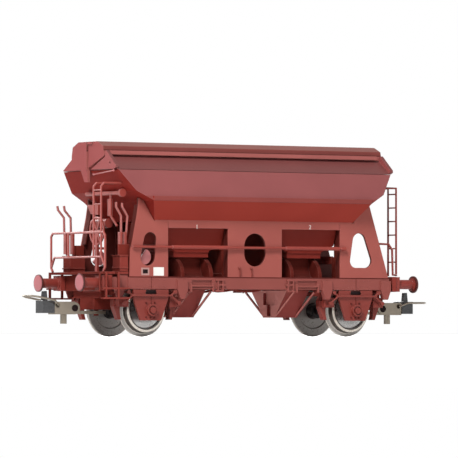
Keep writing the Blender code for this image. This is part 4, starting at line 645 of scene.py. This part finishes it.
def make_foot_strips():
    """Dark joint line along the foot of the side walls, and the rail behind their head"""
    for side, way in SIDES:
        reach = (way * (WALL_Y - FOOT_STRIP_DEPTH), way * (WALL_Y + FOOT_STRIP_PROUD))
        rise = (SOLE_TOP - FOOT_STRIP_BELOW, SOLE_TOP + FOOT_STRIP_ABOVE)
        slab(FOOT_STRIP_X, reach, rise, FOOT_STRIP_EDGE)
        hold(f"foot_strip_{side}", "seam_dark")
        reach = (way * HEAD_RAIL_Y, way * (HEAD_RAIL_Y - HEAD_RAIL_DEPTH))
        rise = (HEAD_RAIL_Z - HEAD_RAIL_HALF, HEAD_RAIL_Z + HEAD_RAIL_HALF)
        slab((-HEAD_RAIL_X, HEAD_RAIL_X), reach, rise, HEAD_RAIL_EDGE)
        hold(f"head_rail_{side}", "wall_paint_inside_shade")


# Plain numerals over the bays, in millimetres: figure, x, middle height
NUMERALS = (("1", -16.96, 27.0), ("2", 16.29, 27.3))
NUMERAL_SIZE = 1.5 * MM
NUMERAL_PROUD = 0.02 * MM
NUMERAL_STEPS = 4


def make_numerals():
    """Painted figures on the strips over the bays, read from either side"""
    for side, way in SIDES:
        for figure, x_mm, z_mm in NUMERALS:
            place = (x_mm * MM, way * (WALL_Y + NUMERAL_PROUD), z_mm * MM)
            turn = 0 if way < 0 else math.pi
            bpy.ops.object.text_add(location=place, rotation=(math.pi / 2, 0, turn))
            item = bpy.context.object
            item.data.body = figure
            item.data.size = NUMERAL_SIZE
            item.data.align_x = "CENTER"
            item.data.align_y = "CENTER"
            item.data.extrude = NUMERAL_PROUD
            item.data.resolution_u = NUMERAL_STEPS
            bpy.ops.object.convert(target="MESH")
            hold(f"numeral_{figure}_{side}", "mark_white")


# Bare plates on the left walls, in millimetres: name, low x, high x, low z, high z, how proud, finish
PLATES = (
    ("frame_plate", -33.0, -30.7, 15.05, 16.9, 0.06, "mark_frame"),
    ("dark_plate", -32.55, -31.15, 15.5, 16.5, 0.10, "mark_black"),
    ("white_plate", -29.5, -26.5, 14.95, 17.05, 0.06, "mark_white"),
)
PLATE_SUNK = 0.1 * MM
PLATE_BEVEL = 0.02 * MM
PLATE_RIM = 0.12 * MM
PLATE_DISH = 0.02 * MM


def make_plates():
    """Small bare plates at the foot of the left walls"""
    for side, way in SIDES:
        for name, low_x, high_x, low_z, high_z, proud_mm, finish in PLATES:
            reach = (way * (WALL_Y - PLATE_SUNK), way * (WALL_Y + proud_mm * MM))
            item = slab((low_x * MM, high_x * MM), reach, (low_z * MM, high_z * MM), PLATE_BEVEL)
            dished(item, 1, way, PLATE_RIM, PLATE_DISH)
            hold(f"{name}_{side}", finish)


# Bolts of an axle guard, in millimetres: distance from the axle, height
GUARD_BOLTS = ((-1.45, 8.3), (1.0, 8.35), (-1.45, 4.8), (-0.2, 4.7), (0.9, 4.7))
GUARD_BOLT_RADIUS = 0.24 * MM
GUARD_BOLT_HEIGHT = 0.3 * MM
GUARD_FACE = GUARD_Y + 0.02 * MM

# Lines and slots over an axle, the slot a black plate painted as the shade of a recess: name, face, how
# proud, x from the axle and z in millimetres, edge, finish
GUARD_LINES = (
    ("guard_joint", GUARD_FACE, 0.06 * MM, (-0.06, 0.06), (8.1, 10.4), 0.02 * MM, "seam_dark"),
    ("guard_slot_shade", GUARD_FACE, 0.04 * MM, (-1.45, 1.35), (10.5, 11.5), 0.015 * MM, "mark_black"),
    ("sole_joint", WALL_Y, 0.05 * MM, (-0.06, 0.06), (11.9, 14.5), 0.02 * MM, "seam_dark"),
)


def make_guard_bolts():
    """Bolt heads, joint lines and the dark slot of each axle guard, the slot a painted shade"""
    for end, sign in ENDS:
        for side, way in SIDES:
            middle = sign * AXLE_X
            bolts = []
            for x_mm, z_mm in GUARD_BOLTS:
                place = (middle + x_mm * MM, way * GUARD_FACE, z_mm * MM)
                bolts.append(stud(place, GUARD_BOLT_RADIUS, GUARD_BOLT_HEIGHT, way))
            joined(bolts)
            hold(f"guard_bolts_{end}_{side}", "seam_dark")
            for name, face, proud, span_mm, rise_mm, edge, finish in GUARD_LINES:
                across = [middle + x_mm * MM for x_mm in span_mm]
                rise = [z_mm * MM for z_mm in rise_mm]
                slab(across, (way * face, way * (face + proud)), rise, edge)
                hold(f"{name}_{end}_{side}", finish)


# Rivets over each axle, in two rows
RIVET_STEP = 1.5 * MM
RIVET_RADIUS = 0.13 * MM
RIVET_HEIGHT = 0.12 * MM
RIVETS_IN_ROW = 6
RIVET_ROWS_Z = (13.95 * MM, 12.35 * MM)


def make_sole_rivets():
    """Rows of rivets on the sole bars over the axle guards"""
    first = -(RIVETS_IN_ROW - 1) / 2
    for side, way in SIDES:
        rivets = []
        for sign in BOTH_WAYS:
            for z in RIVET_ROWS_Z:
                for index in range(RIVETS_IN_ROW):
                    place = (sign * AXLE_X + (first + index) * RIVET_STEP, way * WALL_Y, z)
                    rivets.append(stud(place, RIVET_RADIUS, RIVET_HEIGHT, way))
        joined(rivets)
        hold(f"sole_rivets_{side}", "sole_paint")


# Small levers on the middle wall, in millimetres: top x, foot x, top z, foot z
WALL_LEVERS = ((-4.6, -4.4, 16.9, 14.9), (-1.1, -0.9, 16.8, 14.9))
LEVER_PROUD = 0.25 * MM
LEVER_KNEE = 0.4 * MM
LEVER_RADIUS = 0.16 * MM
LEVER_KNOB_RADIUS = 0.32 * MM
LEVER_KNOB_HEIGHT = 0.3 * MM


def make_wall_levers():
    """Two short change-over levers low on each middle wall"""
    for side, way in SIDES:
        out = way * (WALL_Y + LEVER_PROUD)
        levers = []
        for top_x, foot_x, top_z, foot_z in WALL_LEVERS:
            foot = (foot_x * MM, way * WALL_Y, foot_z * MM)
            knee = (foot_x * MM, out, foot_z * MM + LEVER_KNEE)
            top = (top_x * MM, out, top_z * MM)
            levers.append(pipe((foot, knee, top), LEVER_RADIUS))
            levers.append(stud(top, LEVER_KNOB_RADIUS, LEVER_KNOB_HEIGHT, way))
        joined(levers)
        hold(f"wall_levers_{side}", "guard_paint_shaded")


# Route of the pipe under the sole bar, in millimetres: x, z
SOLE_PIPE = (
    (-14.6, 12.2), (-12.6, 12.0), (-11.4, 11.35), (-8.6, 11.3),
    (-5.7, 11.6), (-3.0, 11.3), (1.5, 11.5), (3.6, 12.2),
)
SOLE_PIPE_DEPTH = 1.0 * MM
SOLE_PIPE_RADIUS = 0.28 * MM


def make_sole_pipes():
    """Brake pipe that dips under the sole bar between the funnels"""
    for side, way in SIDES:
        reach = way * (WALL_Y - SOLE_PIPE_DEPTH)
        pipe([(x_mm * MM, reach, z_mm * MM) for x_mm, z_mm in SOLE_PIPE], SOLE_PIPE_RADIUS)
        hold(f"sole_pipe_{side}", "frame_paint")


# Screws of the coupler shanks
SCREW_X = 45.5 * MM
SCREW_Y = 1.65 * MM
SCREW_Z = 7.05 * MM
SCREW_RADIUS = 0.85 * MM
SCREW_HEIGHT = 0.3 * MM
SCREW_RIM = 0.15 * MM
SCREW_DISH = 0.18 * MM


def make_coupler_screws():
    """Black screw heads on both sides of each coupler shank"""
    for end, sign in ENDS:
        heads = []
        for way in BOTH_WAYS:
            item = stud((sign * SCREW_X, way * SCREW_Y, SCREW_Z), SCREW_RADIUS, SCREW_HEIGHT, way)
            dished(item, 1, way, SCREW_RIM, SCREW_DISH)
            heads.append(item)
        joined(heads)
        hold(f"coupler_screws_{end}", "mark_black", f"coupler_{end}")


# Locking bar: its place along the wagon, and Y and Z of its two ends
LOCK_BAR_X = -40.75 * MM
LOCK_BAR_ENDS = ((-12.0 * MM, 40.55 * MM), (-2.6 * MM, 39.8 * MM))
LOCK_BAR_RADIUS = 0.15 * MM
LOCK_KNOB_RADIUS = 0.28 * MM
LOCK_KNOB_SIDES = 12
LOCK_KNOB_RINGS = 8


def make_lock_bar():
    """Thin locking bar with knobs under the left end of the near roof half"""
    places = [(LOCK_BAR_X, y, z) for y, z in LOCK_BAR_ENDS]
    items = [pipe(places, LOCK_BAR_RADIUS)]
    for place in places:
        bpy.ops.mesh.primitive_uv_sphere_add(segments=LOCK_KNOB_SIDES, ring_count=LOCK_KNOB_RINGS,
                                             radius=LOCK_KNOB_RADIUS, location=place)
        items.append(bpy.context.object)
    joined(items)
    hold("lock_bar", "plate_paint")


# Lever plates behind the left holes: a disc with a straight cut across its upper left
HOLE_LEVER_X = -31.4 * MM
HOLE_LEVER_Y = 10.9 * MM
HOLE_LEVER_Z = 19.6 * MM
HOLE_LEVER_RADIUS = 1.9 * MM
HOLE_LEVER_THICKNESS = 0.5 * MM
HOLE_LEVER_SIDES = 24
HOLE_LEVER_CUT = (HOLE_LEVER_X - 0.7 * MM, 0, HOLE_LEVER_Z + 0.4 * MM)
HOLE_LEVER_CUT_WAY = (-0.8, 0, 0.6)
HOLE_LEVER_RIM = 0.2 * MM
HOLE_LEVER_DISH = 0.12 * MM


def make_hole_levers():
    """Curved lever plate behind the hole of each left wall"""
    for side, way in SIDES:
        centre = (HOLE_LEVER_X, way * HOLE_LEVER_Y, HOLE_LEVER_Z)
        item = disc(centre, HOLE_LEVER_RADIUS, HOLE_LEVER_THICKNESS, way, HOLE_LEVER_SIDES)
        bpy.ops.object.mode_set(mode="EDIT")
        bpy.ops.mesh.select_all(action="SELECT")
        bpy.ops.mesh.bisect(plane_co=HOLE_LEVER_CUT, plane_no=HOLE_LEVER_CUT_WAY, use_fill=True,
                            clear_outer=True)
        bpy.ops.object.mode_set(mode="OBJECT")
        dished(item, 1, way, HOLE_LEVER_RIM, HOLE_LEVER_DISH)
        hold(f"hole_lever_{side}", "plate_paint")


def camera_only(tree, shown, lit, out):
    """Show one shader to the camera, and light with the other"""
    ray = add(tree, "ShaderNodeLightPath")
    mix = add(tree, "ShaderNodeMixShader")
    tree.links.new(ray.outputs["Is Camera Ray"], mix.inputs[0])
    tree.links.new(lit, mix.inputs[1])
    tree.links.new(shown, mix.inputs[2])
    tree.links.new(mix.outputs["Shader"], out)


def set_floor():
    """Pale plain floor that runs into the white background"""
    bpy.ops.mesh.primitive_plane_add(size=FLOOR_SIZE, location=(0, 0, -FLOOR_DROP))
    floor = bpy.context.object
    floor.name = "floor"
    made = bpy.data.materials.new("floor_white")
    made.use_nodes = True
    tree = made.node_tree
    shader = tree.nodes["Principled BSDF"]
    shader.inputs["Base Color"].default_value = FLOOR_GREY
    shader.inputs["Roughness"].default_value = FLOOR_ROUGHNESS
    glow = add(tree, "ShaderNodeEmission")
    glow.inputs["Strength"].default_value = FLOOR_GLOW
    both = add(tree, "ShaderNodeAddShader")
    tree.links.new(shader.outputs["BSDF"], both.inputs[0])
    tree.links.new(glow.outputs["Emission"], both.inputs[1])
    camera_only(tree, both.outputs["Shader"], shader.outputs["BSDF"],
                tree.nodes["Material Output"].inputs["Surface"])
    floor.data.materials.append(made)


def set_light():
    """White surroundings, and soft lamps from the front, the back and the right"""
    world = bpy.data.worlds.new("studio")
    bpy.context.scene.world = world
    world.use_nodes = True
    tree = world.node_tree
    lit = tree.nodes["Background"]
    lit.inputs["Color"].default_value = WHITE
    ray = add(tree, "ShaderNodeLightPath")
    tree.links.new(ranged(tree, ray.outputs["Is Glossy Ray"], 0.0, 1.0, WORLD_LIGHT, WORLD_GLOSS),
                   lit.inputs["Strength"])
    shown = add(tree, "ShaderNodeBackground")
    shown.inputs["Color"].default_value = WHITE
    camera_only(tree, shown.outputs["Background"], lit.outputs["Background"],
                tree.nodes["World Output"].inputs["Surface"])
    for name, place, size, power in LAMPS:
        data = bpy.data.lights.new(name, "AREA")
        data.shape = "SQUARE"
        data.size = size
        data.energy = power
        lamp = bpy.data.objects.new(name, data)
        bpy.context.scene.collection.objects.link(lamp)
        lamp.location = place
        aim = Vector(LAMP_AIM) - Vector(place)
        lamp.rotation_euler = aim.to_track_quat("-Z", "Y").to_euler()


def set_camera():
    """The photo's view: rail height, a long lens, turned to the braked end"""
    data = bpy.data.cameras.new("camera")
    data.sensor_width = SENSOR
    data.lens = LENS_PIXELS * SENSOR / PHOTO_PIXELS
    data.clip_end = VIEW_REACH
    camera = bpy.data.objects.new("camera", data)
    bpy.context.scene.collection.objects.link(camera)
    camera.location = (
        VIEW_SIDE_STEP - VIEW_DISTANCE * math.sin(VIEW_TURN),
        -VIEW_DISTANCE * math.cos(VIEW_TURN),
        VIEW_HEIGHT,
    )
    camera.rotation_euler = (math.pi / 2 + VIEW_PITCH, 0, -VIEW_TURN)
    bpy.context.scene.camera = camera


bpy.context.scene.view_settings.view_transform = "Standard"
set_camera()
dress_nodes()
make_cross_walls()
make_foot_strips()
make_numerals()
make_plates()
make_guard_bolts()
make_sole_rivets()
make_wall_levers()
make_sole_pipes()
make_coupler_screws()
make_hole_levers()
make_lock_bar()
make_slit_plates()
make_bay_posts()
set_floor()
set_light()
